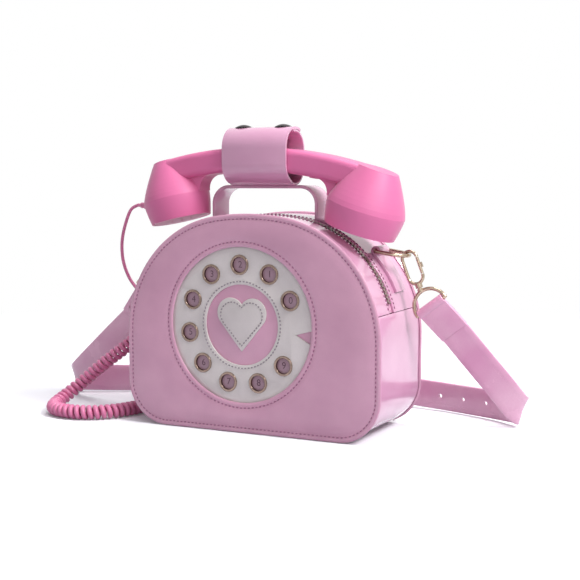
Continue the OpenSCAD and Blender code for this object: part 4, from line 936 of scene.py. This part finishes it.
class TELBAG_OT_strap(bpy.types.Operator):
    """Adds the long and the short piece of the shoulder strap"""

    bl_idname = "telbag.strap"
    bl_label = "Shoulder strap"

    def execute(self, context):
        h, t = STRAP_W / 2, STRAP_T / 2
        # Half-round edges and a back and face that swell a little
        shape = [(-h + 1.0, -t), (-h * 0.5, -t - 0.08), (0, -t - 0.1), (h * 0.5, -t - 0.08), (h - 1.0, -t),
                 (h - 0.3, -t * 0.75), (h, 0), (h - 0.3, t * 0.75), (h - 1.0, t), (h * 0.5, t + 0.08), (0, t + 0.1),
                 (-h * 0.5, t + 0.08), (-h + 1.0, t), (-h + 0.3, t * 0.75), (-h, 0), (-h + 0.3, -t * 0.75)]
        for name, route, node in (("strap_long_leather", LONG_ROUTE, "strap_long"),
                                  ("strap_short_leather", SHORT_ROUTE, "strap_short")):
            points = along([q for q, _ in route], 8)
            wides = along([w for _, w in route], 8)
            stations = []
            for p, d, w in zip(points, headings(points), wides):
                side = (w - w.dot(d) * d).normalized()
                up = d.cross(side)
                stations.append([(p + a * side + b * up) * MM for a, b in shape])
            strap = sweep(name, stations)
            if node == "strap_long":
                # Three punched holes, and the slot where the strap crosses the buckle's prong
                for x, y, z in HOLES:
                    fresh()
                    bpy.ops.mesh.primitive_cylinder_add(vertices=24, radius=STRAP_HOLE_R * MM, depth=12 * MM,
                                                        location=(x * MM, y * MM, z * MM),
                                                        rotation=(math.pi / 2, 0, math.radians(STRAP_HOLE_TURN)))
                    carve(strap, context.object)
                fresh()
                bpy.ops.mesh.primitive_cube_add(size=1, location=[c * MM for c in PRONG_SLOT_AT])
                context.object.scale = [c * MM for c in PRONG_SLOT]
                carve(strap, context.object)
            smooth(strap, 50)
            dress(strap, stuff("strap"), "bag", (node,))
        return {"FINISHED"}


class TELBAG_OT_sewing(bpy.types.Operator):
    """Sews the rows of stitches round the panels, the dial, the heart and the zip"""

    bl_idname = "telbag.sewing"
    bl_label = "Stitches"

    def execute(self, context):
        look = context.scene.telephone_bag
        pitch, thread = look.stitch_pitch / MM, look.thread_width / MM
        length = pitch * 0.42
        for name, y, sign in (("front_edge_row", FRONT_Y + 0.35, -1), ("back_edge_row", REAR_Y - 0.35, 1)):
            points = [(x, y, z) for x, z in line_points(*bag_moves(STITCH_INSET), 2)[:-1]]
            stitches(name, points, pitch, length, thread, (0, sign * 0.1, 0), "bag", stuff("pink_thread"))

        def round_dial(r, y):
            return [(x, y, z) for x, z in line_points(*circle_moves(DIAL_X, DIAL_Z, r))[:-1]]

        stitches("opening_row", round_dial(OPEN_R + STITCH_INSET, FRONT_Y + 0.35), pitch, length, thread, (0, -0.1, 0),
                 "bag", stuff("pink_thread"))
        stitches("dial_hole_row", round_dial(HOLE_R + 2.4, SEWN_Y), pitch * 0.85, length * 0.85, thread, (0, -0.15, 0),
                 "bag", stuff("white_thread"))
        # The heart's row follows its outline some 3 mm in
        w, h = HEART_W - 2 * HEART_ROW_IN, HEART_H - 8
        r = w * 0.275
        cx, cy = w / 2 - r, h - r
        reach = math.sqrt(cx * cx + cy * cy - r * r)
        side = math.atan2(cy, cx) - math.asin(r / math.hypot(cx, cy))
        first = (reach * math.cos(side), reach * math.sin(side))
        a0 = math.atan2(first[1] - cy, first[0] - cx)
        a1 = math.acos(min(1, -cx / r)) if cx < r else math.pi
        turns = [a0 + (a1 - a0) * k / 30 for k in range(31)]
        lobe = [(cx + r * math.cos(a), cy + r * math.sin(a)) for a in turns]
        half = [(first[0] * k / 12, first[1] * k / 12) for k in range(12)] + lobe
        outline = half + [(-x, z) for x, z in reversed(half[1:-1])]
        points = [(DIAL_X + x, HEART_SEWN_Y, DIAL_Z - HEART_H / 2 + 4.6 + z) for x, z in outline]
        stitches("heart_row", points, pitch * 0.8, length * 0.8, thread, (0, -0.1, 0), "bag", stuff("white_thread"))
        # Two rows beside the zip, on the strips
        for name, y in (("zip_row_front", ZIP_Y - ZIP_GAP / 2 - 2.2), ("zip_row_rear", ZIP_Y + ZIP_GAP / 2 + 2.2)):
            points = [(x, y, z) for x, z in line_points(*bag_moves(SEAM_LIP - 0.05), 2) if z > ZIP_SEAM_Z + 3]
            stitches(name, points, pitch, length, thread, (0, 0, 0), "bag", stuff("pink_thread"), closed=False)
        return {"FINISHED"}


class TELBAG_OT_finishes(bpy.types.Operator):
    """Gives the handset, the zip's metal and the hardware their materials"""

    bl_idname = "telbag.finishes"
    bl_label = "Plastic and metal"

    def execute(self, context):
        for key, names in {
            "shell": ("handset_shell", "earpiece_cap", "mouthpiece_cap", "call_button"),
            "speaker": ("earpiece_speaker", "microphone"),
            "eyelet": ("dial_eyelets",),
            "gunmetal": ("snap_caps", "snap_studs"),
            "zip": ("zip_teeth_front", "zip_teeth_rear"),
            "gold": ("zip_slider", "zip_pull", "strap_buckle", "buckle_prong", "strap_loop_left", "strap_loop_right",
                     "d_ring_left", "d_ring_right", "hook_left", "hook_right", "gate_left", "gate_right", "plug_pin"),
        }.items():
            for name in names:
                node = NODES[name]
                node.data.materials.clear()
                node.data.materials.append(stuff(key))
                smooth(node, 30)
        return {"FINISHED"}


class TELBAG_PT_sidebar(bpy.types.Panel):
    """The sidebar panel that lists the pieces"""

    bl_label = "Telephone bag"
    bl_idname = "TELBAG_PT_sidebar"
    bl_space_type = "VIEW_3D"
    bl_region_type = "UI"
    bl_category = "Telephone bag"

    def draw(self, context):
        look = context.scene.telephone_bag
        for name in ("panel_tone", "gusset_tone", "dial_tone", "strap_tone", "handset_tone", "stitch_pitch",
                     "thread_width", "panel_crown", "floor_size", "turn_points"):
            self.layout.prop(look, name)
        for step in STEPS:
            self.layout.operator(step.bl_idname)


STEPS = (TELBAG_OT_stage, TELBAG_OT_cord, TELBAG_OT_panels, TELBAG_OT_gusset, TELBAG_OT_dial, TELBAG_OT_handle,
         TELBAG_OT_strap, TELBAG_OT_sewing, TELBAG_OT_finishes)
CLASSES = (TelephoneBagLook, *STEPS, TELBAG_PT_sidebar)


def register():
    for made in CLASSES:
        bpy.utils.register_class(made)
    bpy.types.Scene.telephone_bag = PointerProperty(type=TelephoneBagLook)


def unregister():
    del bpy.types.Scene.telephone_bag
    for made in reversed(CLASSES):
        bpy.utils.unregister_class(made)


def main():
    register()
    fresh()
    for step in STEPS:
        group, name = step.bl_idname.split(".")
        getattr(getattr(bpy.ops, group), name)()
    fresh()


if __name__ == "__main__":
    main()
